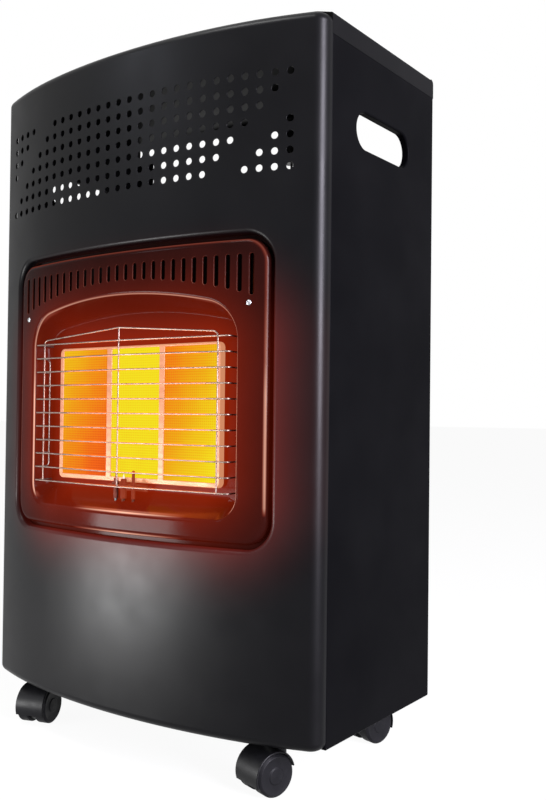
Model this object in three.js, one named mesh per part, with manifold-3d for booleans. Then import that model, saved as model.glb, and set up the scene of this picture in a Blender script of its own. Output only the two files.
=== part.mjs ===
// A portable gas cabinet heater: a bowed sheet-steel cabinet on four swivel castors, with a
// ceramic-plaque burner in an enamelled reflector behind a wire guard.
// Millimetres, Z up. The origin is on the floor in the middle of the footprint, and the front
// faces -Y. Right and left are as seen from the front.

import * as THREE from "three";
import { mergeVertices } from "three/addons/utils/BufferGeometryUtils.js";
import Module from "manifold-3d";

const wasm = await Module();
wasm.setup();

// ---- Driving dimensions -------------------------------------------------------------------

// Cabinet
const bodyWidth = 450;
const bodyDepth = 262; // from the crown of the bowed front to the back
const bodyHeight = 680;
const floorClearance = 50;
const sheet = 1.2;
const gap = 0.3; // left between faces that touch on the real heater

// Bowed front: a flat arc in the middle, a tighter one to each side, then the corner
const bowRadius = 738;
const bowArc = 120; // length of the flat arc on each side of the crown
const shoulderRadius = 534;
const cornerRadius = 15;
const frontReturn = 3; // straight run behind the corner, up to the seam with the side
const edgeRoll = 9; // radius of the rolled top and bottom edges
const edgeFlange = 13; // how far those edges turn in

// Vent holes: slanted block with a triangle on each side
const ventPitch = 15.2;
const ventRowPitch = 14.67;
const ventRows = 7;
const ventTopRow = 674;
const ventRadius = 3.5;
const ventMargin = 20; // from the last column to the end of the bow
const ventSides = 6;
const ventReach = 80; // of the tapered cutter behind the sheet
const ventLead = 4; // of the same cutter ahead of the sheet

// Window in the front panel
const windowHalfWidth = 183; // along the bow
const windowBottom = 229;
const windowTop = 527;
const windowCorner = 29;
const rimRadius = 4.5;
const rimDepth = 10;

// Side panels
const handleLength = 107;
const handleHeight = 36;
const handleLevel = 634.6;
const handleForward = 20.5; // from the middle of the body's depth towards the back
const handleRimDepth = 8;
const sideFrontFlange = 38;
const sideRearFlange = 26.5;
const sideBottomFlange = 18;
const coverTongueEnd = 6; // from each end of the panel to its tongue under the cover
const coverTongueLap = 8;

// Top cover
const coverBand = 20; // depth of the cover's side bands
const coverRoll = 5; // radius of its rear edge
const pocketWidth = 84;
const pocketLength = 49;
const pocketDepth = 30;
const pocketFromBack = 10;
const pocketCentre = 82;
const pocketCorner = 5;

// Base tray
const trayRise = 22;

// Rear cover
const rearCoverInset = 9; // of each side from the side of the body
const rearCoverBottom = 66;
const rearCoverTop = 585;
const rearCoverCorner = 6;
const rearCoverStand = 4; // how far its pressed louvres stand out from the body
const louvreLength = 120;
const louvreHeight = 7;
const louvrePitch = 24;
const louvreRows = 6;
const louvreLevel = 150;
const louvreColumn = 85; // of each column from the middle
const louvreRoot = 2; // of the visor above its slot
const louvreEnd = 2; // of the visor past each end of its slot
const louvreDrip = 1; // from the visor's edge up to the foot of the slot
const gripLength = 90;
const gripHeight = 24;
const gripFromTop = 34;
const tongueWidth = 8;
const tongueHeight = 12;
const tongueReach = 9;
const tongueInset = 40;

// Reflector pan
const panGroove = 5; // between the window rim and the pan
const panSet = 1; // how far the pan lies behind the front panel's face
const panRoll = 6;
const panFlange = 11;
const recessHalfWidth = 143.5;
const recessAboveWindow = 28.5; // from the foot of the window to the foot of the recess
const recessBelowWindow = 51.1; // from the top of the window to the crown of the recess
const recessCrownRadius = 552;
const recessShoulder = 38;
const recessFoot = 22;
const recessDepth = 36; // from the crown of the front to the recess floor
const recessLip = 5;
const recessTopSlope = 12;
const recessSideSlope = 5;
const recessBottomSlope = 16;
const slotPitch = 12.24;
const slotCount = 27;
const slotWidth = 4.6;
const slotBelowWindow = 19.5; // from the top of the window to the top of the slots
const slotAboveRecess = 15;
const panScrewRadius = 2.5;
const panScrewHalf = 156.7; // of each screw from the middle
const panScrewDrop = 15; // below the crown of the recess

// Burner
const burnerHalfWidth = 115.3;
const burnerAboveRecess = 26.8; // from the foot of the recess to the foot of the frame
const burnerHeight = 142.9;
const burnerStand = 7; // how far the frame stands out of the recess floor
const burnerCorner = 5;
const frameLip = 1;
const plaqueCount = 3;
const plaqueThickness = 13;
const plaqueLap = 1.2; // behind the lip at each side
const windowSide = 5.3; // frame lip beside the outer plaques
const windowBar = 7; // frame bar between two plaques
const windowFoot = 4.9;
const windowHead = 2.5;
const boxDepth = 22;
const venturiRadius = 9;
const venturiDrop = 22;
const venturiMouth = 12;
const venturiRim = 2;
const venturiTaper = 5;
const injectorRadius = 5;
const injectorLength = 16;
const injectorTipRadius = 1.5;
const injectorCollar = 2.5;
const injectorCollarHeight = 3;
const injectorSeat = 6; // of the bracket's shelf above the foot of an injector
const injectorShelf = 11; // of the same shelf behind the injectors
const injectorBracketEnd = 20;
const tubeStagger = 8; // between the levels of tubes that lie in one plane

// Wire guard
const guardWire = 1.1;
const guardRows = 11;
const guardAboveBurner = 3.5; // of the first row
const guardBelowBurner = 3; // of the last row
const guardClearance = 6; // from the side of the recess to the guard's front corner
const guardTaper = 2.3; // by which each rear upright lies nearer the middle than that corner
const guardLegInset = 13.7;
const guardCrown = 3.6; // depth of the wires at the middle, behind the crown of the front
const guardCorner = 13;
const guardRear = 31.3;
const guardHook = 4; // behind the recess floor
const guardPeakRise = 13.2;
const guardShoulderRise = 4.7;
const guardBend = 3;
const guardLoopBend = 6;

// Heat shield
const shieldDepth = 74;
const shieldBottom = 256;
const shieldTop = 550;
const shieldFlange = 10;

// Pilot and ignition
const pilotDepth = 21;
const pilotX = -6;
const sparkX = -17;
const thermocoupleX = 8;
const pilotDrop = 3.3; // of the bracket below the burner's foot
const pilotFoot = 13; // how far the pilot parts reach below their bracket
const pilotRadius = 3.2;
const sparkRadius = 2.6;
const thermocoupleRadius = 2;
const pilotCollar = 1.6;
const pilotCollarHeight = 1.5;
const pilotBracketEnd = 7;
const pilotBracketEdge = 6;
const pilotClearance = 1;
const pilotNozzle = 6;
const sparkNeedle = 0.8;
const sparkCeramic = 6;
const sparkReach = 13;
const thermocoupleTip = 1.6;
const thermocoupleReach = 15;

// Tubes and leads
const supplyRadius = 3;
const supplyPlane = 55; // depth of the supply tubes beside the burner
const supplyClearance = 13; // from the burner to the nearest of them
const supplyDrop = 10; // of the first crossing run below the injectors
const supplyRunLevel = 560;
const leadPlane = 45;
const leadClearance = 13.7; // from the side panel's flange to the nearest lead
const leadDrop = 7;
const leadCount = 3;
const thermocoupleLead = 1.5;
const pilotTube = 2;
const leadRunLevel = 572;
const ignitionRunLevel = 580;
const tubeBend = 9;

// Controls
const knobX = 101;
const igniterX = 58;
const controlsFromBack = 34;
const knobRadius = 17;
const knobHeight = 20;
const knobTravel = 4;
const knobSkirt = 6;
const knobGrip = 9; // width of the bar across the knob
const knobChamfer = 1.5;
const knobCrown = 4; // of plastic over the spindle's end
const spindleRadius = 4;
const spindleDepth = 12; // of the spindle in the valve
const buttonRadius = 6;
const buttonTravel = 6;
const valveWidth = 46;
const valveLength = 38;
const valveHeight = 36;
const valveBonnet = 9;
const valveBonnetWall = 7;
const valveCorner = 4;
const valveNut = 5.5;
const valveNutHeight = 6;
const valveRowStep = 11; // from the supply outlets to the pilot outlets
const valvePitch = 9; // between two outlets
const igniterNeck = 8;
const igniterWall = 1; // of the barrel outside the neck
const igniterShoulder = 3;
const igniterShoulderHeight = 5;
const igniterBezel = 2.5;
const igniterRimHeight = 4;
const igniterBore = 21;
const igniterDepth = 45; // below the pocket floor
const plateGauge = 1;
const plateClearance = 0.5;
const hoseTailLength = 28;
const hoseTailX = 17; // to the right of the knob
const hoseTailRadius = 4.2;
const hoseTailBore = 2.5;
const hoseBarb = 5;
const hoseBarbs = 3;
const hoseNut = 7;
const hoseNutHeight = 6;

// Castors
const castorInset = 59; // of each stem from the side of the body
const castorFront = 59; // stem behind the crown of the front
const castorRear = 49; // stem ahead of the back
const castorTrail = 14;
const wheelRadius = 20;
const wheelWidth = 14;
const wheelCentre = 11.7; // from the middle of the castor
const wheelChamfer = 2;
const wheelCap = 3; // of plastic over the axle's end
const axleRadius = 2.5;
const stemRadius = 5;
const bossWall = 4;
const bossGap = 3; // under the socket
const stemGap = 3; // over the stem, in the socket
const webInset = 3; // of the web behind the wheels' rims
const socketRadius = 7.5;
const socketFlange = 14;
const socketGauge = 1.5;
const socketRise = 20;
const hoodRadius = 22.6;
const hoodGauge = 1.8;
const hoodStartAngle = -20; // degrees round the axle, from the side away from the stem
const hoodEndAngle = 165;
const castorTurns = {
  front_left: -72,
  front_right: -107.5,
  rear_left: 96,
  rear_right: 76,
};

// ---- Derived places -----------------------------------------------------------------------

const frontY = -(bodyDepth + rearCoverStand) / 2;
const backY = frontY + bodyDepth;
const halfWidth = bodyWidth / 2;
const bodyBottom = floorClearance;
const bodyTop = bodyBottom + bodyHeight;
const panelTop = bodyTop - sheet - gap;
const bandBottom = bodyTop - coverBand;

const bowAngle = bowArc / bowRadius;
const shoulderReach = halfWidth - cornerRadius - (bowRadius - shoulderRadius) * Math.sin(bowAngle);
const shoulderAngle = Math.asin(shoulderReach / (shoulderRadius - cornerRadius));
const shoulderEnd = bowArc + shoulderRadius * (shoulderAngle - bowAngle);
const cornerEnd = shoulderEnd + cornerRadius * (Math.PI / 2 - shoulderAngle);
const frontEnd = cornerEnd + frontReturn;

const controlsY = backY - controlsFromBack;
const pocketFloor = bodyTop - pocketDepth;
const spindleHole = spindleRadius + 2;
const trayLow = bodyBottom + sheet + gap;
const trayTop = trayLow + sheet;

const recessBottom = windowBottom + recessAboveWindow;
const recessCrown = windowTop - recessBelowWindow;
const slotTop = windowTop - slotBelowWindow;
const burnerBottom = recessBottom + burnerAboveRecess;
const burnerTop = burnerBottom + burnerHeight;
const guardHalfWidth = recessHalfWidth - guardClearance;
const guardRearHalfWidth = guardHalfWidth - guardTaper;
const guardLegs = guardHalfWidth - guardLegInset;
const guardTop = burnerTop + guardAboveBurner;
const guardRowPitch = (guardTop - burnerBottom + guardBelowBurner) / (guardRows - 1);
const pilotBracketLevel = burnerBottom - pilotDrop;

// ---- Solids -------------------------------------------------------------------------------

// A closed geometry as a solid that can be cut and joined.
function solid(geometry) {
  const bare = new THREE.BufferGeometry();
  bare.setAttribute("position", geometry.getAttribute("position"));
  if (geometry.index) bare.setIndex(geometry.index);
  const merged = mergeVertices(bare, 1e-4);
  return new wasm.Manifold(
    new wasm.Mesh({
      numProp: 3,
      vertProperties: new Float32Array(merged.attributes.position.array),
      triVerts: new Uint32Array(merged.index.array),
    }),
  );
}

function join(...parts) {
  return parts.flat().reduce((whole, part) => whole.add(part));
}

function cut(whole, ...tools) {
  return tools.flat().reduce((left, tool) => left.subtract(tool), whole);
}

function geometryOf(whole) {
  const mesh = whole.getMesh();
  const geometry = new THREE.BufferGeometry();
  geometry.setAttribute("position", new THREE.BufferAttribute(mesh.vertProperties, 3));
  geometry.setIndex(new THREE.BufferAttribute(mesh.triVerts, 1));
  geometry.computeVertexNormals();
  return geometry;
}

function block(x0, x1, y0, y1, z0, z1) {
  const box = new THREE.BoxGeometry(x1 - x0, y1 - y0, z1 - z0);
  return solid(box.translate((x0 + x1) / 2, (y0 + y1) / 2, (z0 + z1) / 2));
}

// Prisms: a profile in the plane square to one axis, pushed along that axis.
const alongX = new THREE.Matrix4().makeBasis(
  new THREE.Vector3(0, 1, 0),
  new THREE.Vector3(0, 0, 1),
  new THREE.Vector3(1, 0, 0),
);
const alongY = new THREE.Matrix4().makeBasis(
  new THREE.Vector3(1, 0, 0),
  new THREE.Vector3(0, 0, 1),
  new THREE.Vector3(0, -1, 0),
);

function extrude(shape, depth, curveSegments) {
  return new THREE.ExtrudeGeometry(shape, { depth, curveSegments, bevelEnabled: false });
}

function prismX(shape, x0, x1, curveSegments = 2) {
  return solid(extrude(shape, x1 - x0, curveSegments).applyMatrix4(alongX).translate(x0, 0, 0));
}

function prismY(shape, y0, y1, curveSegments = 2) {
  return solid(extrude(shape, y1 - y0, curveSegments).applyMatrix4(alongY).translate(0, y1, 0));
}

function prismZ(shape, z0, z1, curveSegments = 2) {
  return solid(extrude(shape, z1 - z0, curveSegments).translate(0, 0, z0));
}

function rod(x, y, z0, z1, radius, sides = 12) {
  const cylinder = new THREE.CylinderGeometry(radius, radius, z1 - z0, sides);
  return solid(cylinder.rotateX(Math.PI / 2).translate(x, y, (z0 + z1) / 2));
}

// A turned piece standing on (x, y), from [radius, height] points that start and end on the axis.
function turned(x, y, points, sides = 12) {
  const profile = points.map(([radius, height]) => new THREE.Vector2(radius, height));
  return solid(new THREE.LatheGeometry(profile, sides).rotateX(Math.PI / 2).translate(x, y, 0));
}

function roundedBox(cx, cy, width, height, radius) {
  const shape = new THREE.Shape();
  const x = cx + width / 2 - radius;
  const y = cy + height / 2 - radius;
  const left = cx - width / 2 + radius;
  const low = cy - height / 2 + radius;
  shape.absarc(x, y, radius, 0, Math.PI / 2);
  shape.absarc(left, y, radius, Math.PI / 2, Math.PI);
  shape.absarc(left, low, radius, Math.PI, 1.5 * Math.PI);
  shape.absarc(x, low, radius, 1.5 * Math.PI, 2 * Math.PI);
  return shape;
}

function polygon(points) {
  return new THREE.Shape(points.map(([x, y]) => new THREE.Vector2(x, y)));
}

// Joins rings of points into one closed body. Open runs are capped with the flat section given.
function loft(rings, section = null) {
  const count = rings[0].length;
  const positions = rings.flat().flatMap((point) => [point.x, point.y, point.z]);
  const triangles = [];
  const spans = section ? rings.length - 1 : rings.length;
  for (let i = 0; i < spans; i++) {
    const here = i * count;
    const there = ((i + 1) % rings.length) * count;
    for (let j = 0; j < count; j++) {
      const k = (j + 1) % count;
      triangles.push(here + j, there + j, there + k, here + j, there + k, here + k);
    }
  }
  if (section) {
    const last = (rings.length - 1) * count;
    for (const [a, b, c] of THREE.ShapeUtils.triangulateShape(section, [])) {
      triangles.push(a, b, c, last + a, last + c, last + b);
    }
  }
  const geometry = new THREE.BufferGeometry();
  geometry.setAttribute("position", new THREE.Float32BufferAttribute(positions, 3));
  geometry.setIndex(signedVolume(positions, triangles) < 0 ? triangles.reverse() : triangles);
  return solid(geometry);
}

function signedVolume(positions, triangles) {
  const corner = (i) => new THREE.Vector3().fromArray(positions, 3 * triangles[i]);
  let volume = 0;
  for (let i = 0; i < triangles.length; i += 3) {
    volume += corner(i).dot(corner(i + 1).cross(corner(i + 2)));
  }
  return volume;
}

// Rounds the inner corners of a path with short arcs.
function bendPath(points, radius, steps = 3) {
  const path = points.map((point) => new THREE.Vector3(...point));
  const bent = [path[0]];
  for (let i = 1; i < path.length - 1; i++) {
    const back = path[i - 1].clone().sub(path[i]).normalize();
    const ahead = path[i + 1].clone().sub(path[i]).normalize();
    const half = back.angleTo(ahead) / 2;
    const reach = radius / Math.tan(half);
    if (reach < 0.2) {
      bent.push(path[i]);
      continue;
    }
    const toCentre = back.clone().add(ahead).normalize();
    const centre = toCentre.clone().multiplyScalar(radius / Math.sin(half)).add(path[i]);
    const start = back.clone().multiplyScalar(reach).add(path[i]).sub(centre);
    const axis = back.clone().cross(ahead).normalize().negate();
    for (let step = 0; step <= steps; step++) {
      const turn = ((Math.PI - 2 * half) * step) / steps;
      bent.push(start.clone().applyAxisAngle(axis, turn).add(centre));
    }
  }
  bent.push(path[path.length - 1]);
  return bent;
}

// A round wire or tube along a path of points; a closed one returns to its start.
function wire(path, radius, sides = 6, closed = false) {
  const count = path.length;
  const along = (i) => {
    const before = closed ? path[(i + count - 1) % count] : path[Math.max(i - 1, 0)];
    const after = closed ? path[(i + 1) % count] : path[Math.min(i + 1, count - 1)];
    const run = after.clone().sub(path[i]).normalize();
    return path[i].clone().sub(before).normalize().add(run).normalize();
  };
  const section = [];
  for (let j = 0; j < sides; j++) {
    const angle = (2 * Math.PI * (j + 0.5)) / sides;
    section.push(new THREE.Vector2(radius * Math.cos(angle), radius * Math.sin(angle)));
  }
  let direction = along(0);
  const side = Math.abs(direction.z) < 0.9 ? new THREE.Vector3(0, 0, 1) : new THREE.Vector3(0, 1, 0);
  side.cross(direction).normalize();
  const rings = path.map((point, i) => {
    const next = along(i);
    side.applyQuaternion(new THREE.Quaternion().setFromUnitVectors(direction, next));
    side.addScaledVector(next, -side.dot(next)).normalize();
    direction = next;
    const up = next.clone().cross(side);
    return section.map((place) =>
      point.clone().addScaledVector(side, place.x).addScaledVector(up, place.y),
    );
  });
  return loft(rings, closed ? null : section);
}

// ---- The bow ------------------------------------------------------------------------------

// The point at distance u along the bow from its crown, set in by a depth square to the face.
function onBow(u, depth, z) {
  const run = Math.abs(u);
  let heading = Math.min(run, bowArc) / bowRadius;
  let x = bowRadius * Math.sin(heading);
  let y = bowRadius * (1 - Math.cos(heading));
  if (run > bowArc) {
    heading = bowAngle + (Math.min(run, shoulderEnd) - bowArc) / shoulderRadius;
    x += shoulderRadius * (Math.sin(heading) - Math.sin(bowAngle));
    y += shoulderRadius * (Math.cos(bowAngle) - Math.cos(heading));
  }
  if (run > shoulderEnd) {
    heading = shoulderAngle + (Math.min(run, cornerEnd) - shoulderEnd) / cornerRadius;
    x += cornerRadius * (Math.sin(heading) - Math.sin(shoulderAngle));
    y += cornerRadius * (Math.cos(shoulderAngle) - Math.cos(heading));
  }
  y += Math.max(run - cornerEnd, 0);
  x -= depth * Math.sin(heading);
  y += depth * Math.cos(heading);
  return new THREE.Vector3(u < 0 ? -x : x, frontY + y, z);
}

function bowHeading(u) {
  const run = Math.min(Math.abs(u), shoulderEnd);
  const heading = run < bowArc ? run / bowRadius : bowAngle + (run - bowArc) / shoulderRadius;
  return u < 0 ? -heading : heading;
}

// The bow is drawn with a flat strip for every few columns of holes, so that no hole is on an edge.
const stripColumns = 3;
const ventRoom = (shoulderEnd - ventMargin) / ventPitch;
const ventHalfColumns = stripColumns * Math.floor((ventRoom - 1) / stripColumns) + 1;
const stripEdges = [];
for (let k = -ventHalfColumns; k <= ventHalfColumns + 1; k += stripColumns) {
  stripEdges.push((k - 0.5) * ventPitch);
}
const cornerSteps = 3;
const cornerEdges = [];
for (let k = 0; k <= cornerSteps; k++) {
  cornerEdges.push(shoulderEnd + ((cornerEnd - shoulderEnd) * k) / cornerSteps);
}
const bowEdges = [
  -frontEnd,
  ...cornerEdges.map((u) => -u).reverse(),
  ...stripEdges,
  ...cornerEdges,
  frontEnd,
];

// The same as onBow, but on the flat strip rather than on the true curve.
function onStrip(u, depth, z) {
  const last = bowEdges.length - 2;
  const found = bowEdges.findIndex((edge, i) => i <= last && u <= bowEdges[i + 1]);
  const i = found < 0 ? last : found;
  const share = (u - bowEdges[i]) / (bowEdges[i + 1] - bowEdges[i]);
  return onBow(bowEdges[i], depth, z).lerp(onBow(bowEdges[i + 1], depth, z), share);
}

// Depth of the flat strips behind the crown, at a distance x from the middle.
function stripDepth(x, depth) {
  const side = Math.abs(x);
  let i = 0;
  const edges = bowEdges.filter((u) => u > 0);
  while (i < edges.length - 1 && onBow(edges[i], depth, 0).x < side) i++;
  const inner = onBow(i ? edges[i - 1] : -edges[0], depth, 0);
  const outer = onBow(edges[i], depth, 0);
  const share = (side - inner.x) / (outer.x - inner.x);
  return inner.y + (outer.y - inner.y) * share - frontY;
}

// Points round an outline with the direction that leads out of it at each of them.
function traced(shape, divisions, extraEdges = []) {
  const points = shape.getPoints(divisions).filter((point, i, all) => {
    return point.distanceTo(all[(i + 1) % all.length]) > 1e-3;
  });
  const stops = [];
  points.forEach((point, i) => {
    const next = points[(i + 1) % points.length];
    const splits = extraEdges
      .map((edge) => (edge - point.x) / (next.x - point.x))
      .filter((share) => share > 1e-4 && share < 1 - 1e-4)
      .sort((a, b) => a - b);
    stops.push(point, ...splits.map((share) => point.clone().lerp(next, share)));
  });
  return stops.map((point, i) => {
    const before = stops[(i + stops.length - 1) % stops.length];
    const after = stops[(i + 1) % stops.length];
    const a = point.clone().sub(before).normalize();
    const b = after.clone().sub(point).normalize();
    const run = a.add(b).normalize();
    return { x: point.x, z: point.y, outX: run.y, outZ: -run.x };
  });
}

// Quarter of a rolled edge: [out, deep] points from the face to the wall, or back.
function roll(radius, thickness, steps = 2) {
  const arc = [];
  for (let step = 0; step <= steps; step++) {
    const angle = (Math.PI / 2) * (step / steps);
    const inner = radius - thickness;
    arc.push([radius - inner * Math.sin(angle), radius - inner * Math.cos(angle)]);
  }
  return arc;
}

const lap = 1; // how far a rim is sunk into its sheet, or a cutter runs past what it cuts
const seamY = onBow(frontEnd, 0, 0).y;
const sideFront = seamY + gap;

// A cutter that runs right through the bowed front, with an outline seen from the front.
function throughBow(shape, curveSegments = 2) {
  return prismY(shape, frontY - lap, seamY, curveSegments);
}

// ---- Cabinet ------------------------------------------------------------------------------

function windowShape(inset) {
  const height = windowTop - windowBottom - 2 * inset;
  const middle = (windowTop + windowBottom) / 2;
  return roundedBox(0, middle, 2 * (windowHalfWidth - inset), height, windowCorner - inset);
}

// An outline drawn along the bow, as the shape that it has seen from the front.
function seenFromFront(shape, divisions) {
  const stops = traced(shape, divisions, stripEdges);
  return polygon(stops.map((stop) => [onStrip(stop.x, 0, 0).x, stop.z]));
}

// A rim laid round an outline on the bow, from a section of [out, deep] points.
function bowRim(shape, section) {
  const rings = traced(shape, 2, stripEdges).map((stop) =>
    section.map(([out, deep]) => onStrip(stop.x + out * stop.outX, deep, stop.z + out * stop.outZ)),
  );
  return loft(rings);
}

// The cutters taper away over a long reach, so each wall of a hole is a single facet.
function ventHoles() {
  const holes = [];
  const length = ventLead + ventReach;
  const shape = new THREE.ConeGeometry((ventRadius * length) / ventReach, length, ventSides);
  shape.rotateY(Math.PI / ventSides).translate(0, length / 2 - ventLead, 0);
  for (let row = 1; row <= ventRows; row++) {
    for (let column = -ventHalfColumns; column <= ventHalfColumns; column++) {
      const bar = column + row;
      if (bar === -8 || bar === -7 || bar === 15 || bar === 16) continue;
      const u = column * ventPitch;
      const place = onBow(u, sheet / 2, ventTopRow - (row - 1) * ventRowPitch);
      const hole = shape.clone().rotateZ(bowHeading(u));
      holes.push(solid(hole.translate(place.x, place.y, place.z)));
    }
  }
  return holes;
}

function frontPanel() {
  const outer = roll(edgeRoll, 0);
  const inner = roll(edgeRoll, sheet);
  const section = [
    [edgeFlange, panelTop],
    ...outer.map(([out, deep]) => [out, panelTop - deep]),
    ...outer.map(([out, deep]) => [out, bodyBottom + deep]).reverse(),
    [edgeFlange, bodyBottom],
    [edgeFlange, bodyBottom + sheet],
    ...inner.map(([out, deep]) => [out, bodyBottom + deep]),
    ...inner.map(([out, deep]) => [out, panelTop - deep]).reverse(),
    [edgeFlange, panelTop - sheet],
  ];
  const rings = bowEdges.map((u) => section.map(([deep, z]) => onBow(u, deep, z)));
  const skin = loft(rings, section.map(([deep, z]) => new THREE.Vector2(deep, z)));
  const opening = throughBow(seenFromFront(windowShape(-rimRadius), 2));
  const rim = bowRim(windowShape(0), [
    [rimRadius + lap, 0],
    ...roll(rimRadius, 0),
    [0, rimDepth],
    [sheet, rimDepth],
    ...roll(rimRadius, sheet).reverse(),
    [rimRadius + lap, sheet],
  ]);
  return cut(join(skin.subtract(opening), rim), ventHoles());
}

// One side panel, made as the right-hand one: the skin, its turned flanges, a joggled tongue
// under the top cover, and the carrying slot with its turned-in rim.
function sidePanel() {
  const outer = halfWidth;
  const inner = outer - sheet;
  const top = bandBottom - gap;
  const joggle = inner - gap;
  const tongueFront = sideFront + coverTongueEnd;
  const tongueRear = backY - coverTongueEnd;
  const handleY = frontY + bodyDepth / 2 + handleForward;
  const slot = (grow) =>
    roundedBox(
      handleY,
      handleLevel,
      handleLength + 2 * grow,
      handleHeight + 2 * grow,
      handleHeight / 2 + grow,
    );
  const rearTongues = tongueLevels().map((level) =>
    block(
      tongueX - tongueWidth / 2 - gap,
      tongueX + tongueWidth / 2 + gap,
      backY - 3 * sheet,
      backY + sheet,
      level - tongueHeight / 2 - gap,
      level + tongueHeight / 2 + gap,
    ),
  );
  return cut(
    join(
      block(inner, outer, sideFront, backY, bodyBottom, top),
      block(joggle - sheet, joggle, tongueFront, tongueRear, top - coverTongueLap, panelTop - gap),
      block(joggle - sheet, inner + sheet / 2, tongueFront, tongueRear, top - coverTongueLap, top),
      block(outer - sideFrontFlange, inner, sideFront, sideFront + sheet, bodyBottom, top),
      block(outer - sideRearFlange, inner, backY - sheet, backY, bodyBottom, top),
      block(outer - sideBottomFlange, inner, sideFront, backY, bodyBottom, bodyBottom + sheet),
      prismX(slot(sheet), outer - handleRimDepth, outer, 3),
    ),
    prismX(slot(0), outer - 2 * handleRimDepth, outer + lap, 3),
    rearTongues,
  );
}

// The rear cover pushes onto the side panels' rear flanges by two tongues on each side.
const tongueX = halfWidth - sheet - sideRearFlange / 2;

function tongueLevels() {
  return [rearCoverBottom + tongueInset, rearCoverTop - tongueInset];
}

function mirrored(whole) {
  return whole.mirror([1, 0, 0]);
}

// The plan of the pocket for the controls, grown outwards by a given distance.
function pocketShape(grow) {
  const y = backY - pocketFromBack - pocketLength / 2;
  const width = pocketWidth + 2 * grow;
  return roundedBox(pocketCentre, y, width, pocketLength + 2 * grow, pocketCorner + grow);
}

function topCover() {
  const under = bodyTop - sheet;
  const bandFront = seamY + gap;
  const frontEdge = bowEdges.map((u) => onBow(u, edgeRoll + gap, 0));
  const plan = [
    ...frontEdge.slice(1, -1).map((point) => [point.x, point.y]),
    [halfWidth - edgeRoll, bandFront],
    [halfWidth, bandFront],
    [halfWidth, backY - coverRoll],
    [-halfWidth, backY - coverRoll],
    [-halfWidth, bandFront],
    [-halfWidth + edgeRoll, bandFront],
  ];
  const bandSide = new THREE.Shape();
  bandSide.moveTo(bandFront, bandBottom);
  bandSide.lineTo(backY, bandBottom);
  bandSide.absarc(backY - coverRoll, bodyTop - coverRoll, coverRoll, 0, Math.PI / 2);
  bandSide.lineTo(bandFront, bodyTop);
  const rearEdge = new THREE.Shape();
  rearEdge.absarc(backY - coverRoll, bodyTop - coverRoll, coverRoll, 0, Math.PI / 2, false);
  const innerRoll = coverRoll - sheet;
  rearEdge.absarc(backY - coverRoll, bodyTop - coverRoll, innerRoll, Math.PI / 2, 0, true);
  return cut(
    join(
      prismZ(polygon(plan), under, bodyTop),
      prismX(bandSide, halfWidth - sheet, halfWidth),
      prismX(bandSide, -halfWidth, -halfWidth + sheet),
      prismX(rearEdge, -halfWidth, halfWidth),
      prismZ(pocketShape(sheet), pocketFloor, bodyTop, 1),
    ),
    prismZ(pocketShape(0), pocketFloor + sheet, bodyTop + lap, 1),
    rod(knobX, controlsY, pocketFloor - lap, bodyTop, spindleHole),
    rod(igniterX, controlsY, pocketFloor - lap, bodyTop, igniterNeck + gap),
  );
}

function baseTray() {
  const inset = sheet + gap;
  const rear = backY - sheet - gap;
  const edge = bowEdges.map((u) => onBow(u, edgeRoll, 0));
  const plan = [
    ...edge.map((point) => [point.x, point.y]),
    [halfWidth - inset, sideFront],
    [halfWidth - inset, rear],
    [-halfWidth + inset, rear],
    [-halfWidth + inset, sideFront],
  ];
  const upstand = halfWidth - sideRearFlange - sheet;
  const flange = block(
    halfWidth - sideFrontFlange - gap,
    halfWidth,
    sideFront - gap,
    sideFront + sheet + gap,
    trayLow - lap,
    trayTop + lap,
  );
  const stems = castorPlaces().map(([, x, y]) =>
    rod(x, y, trayLow - lap, trayTop + lap, socketRadius + gap, 10),
  );
  return cut(
    join(
      prismZ(polygon(plan), trayLow, trayTop),
      block(-upstand, upstand, rear - sheet, rear, trayLow, trayLow + trayRise),
    ),
    flange,
    mirrored(flange),
    stems,
  );
}

// One pressed louvre of the rear cover: a visor over its slot, closed at both ends.
function louvre(x, low) {
  const skin = backY + gap + sheet;
  const stand = backY + rearCoverStand;
  const high = low + louvreHeight + louvreRoot;
  const foot = low + louvreDrip;
  const rise = (high - foot) * (sheet / (stand - skin + sheet / 2));
  const half = louvreLength / 2;
  const visor = polygon([
    [skin - sheet / 2, high],
    [stand, foot],
    [stand - sheet, foot],
    [skin - sheet / 2, high - rise],
  ]);
  const cheek = polygon([
    [skin - sheet / 2, high - rise / 2],
    [stand - sheet / 2, foot],
    [skin - sheet / 2, foot],
  ]);
  return join(
    prismX(visor, x - half, x + half),
    prismX(cheek, x - half, x - half + sheet),
    prismX(cheek, x + half - sheet, x + half),
  );
}

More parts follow.
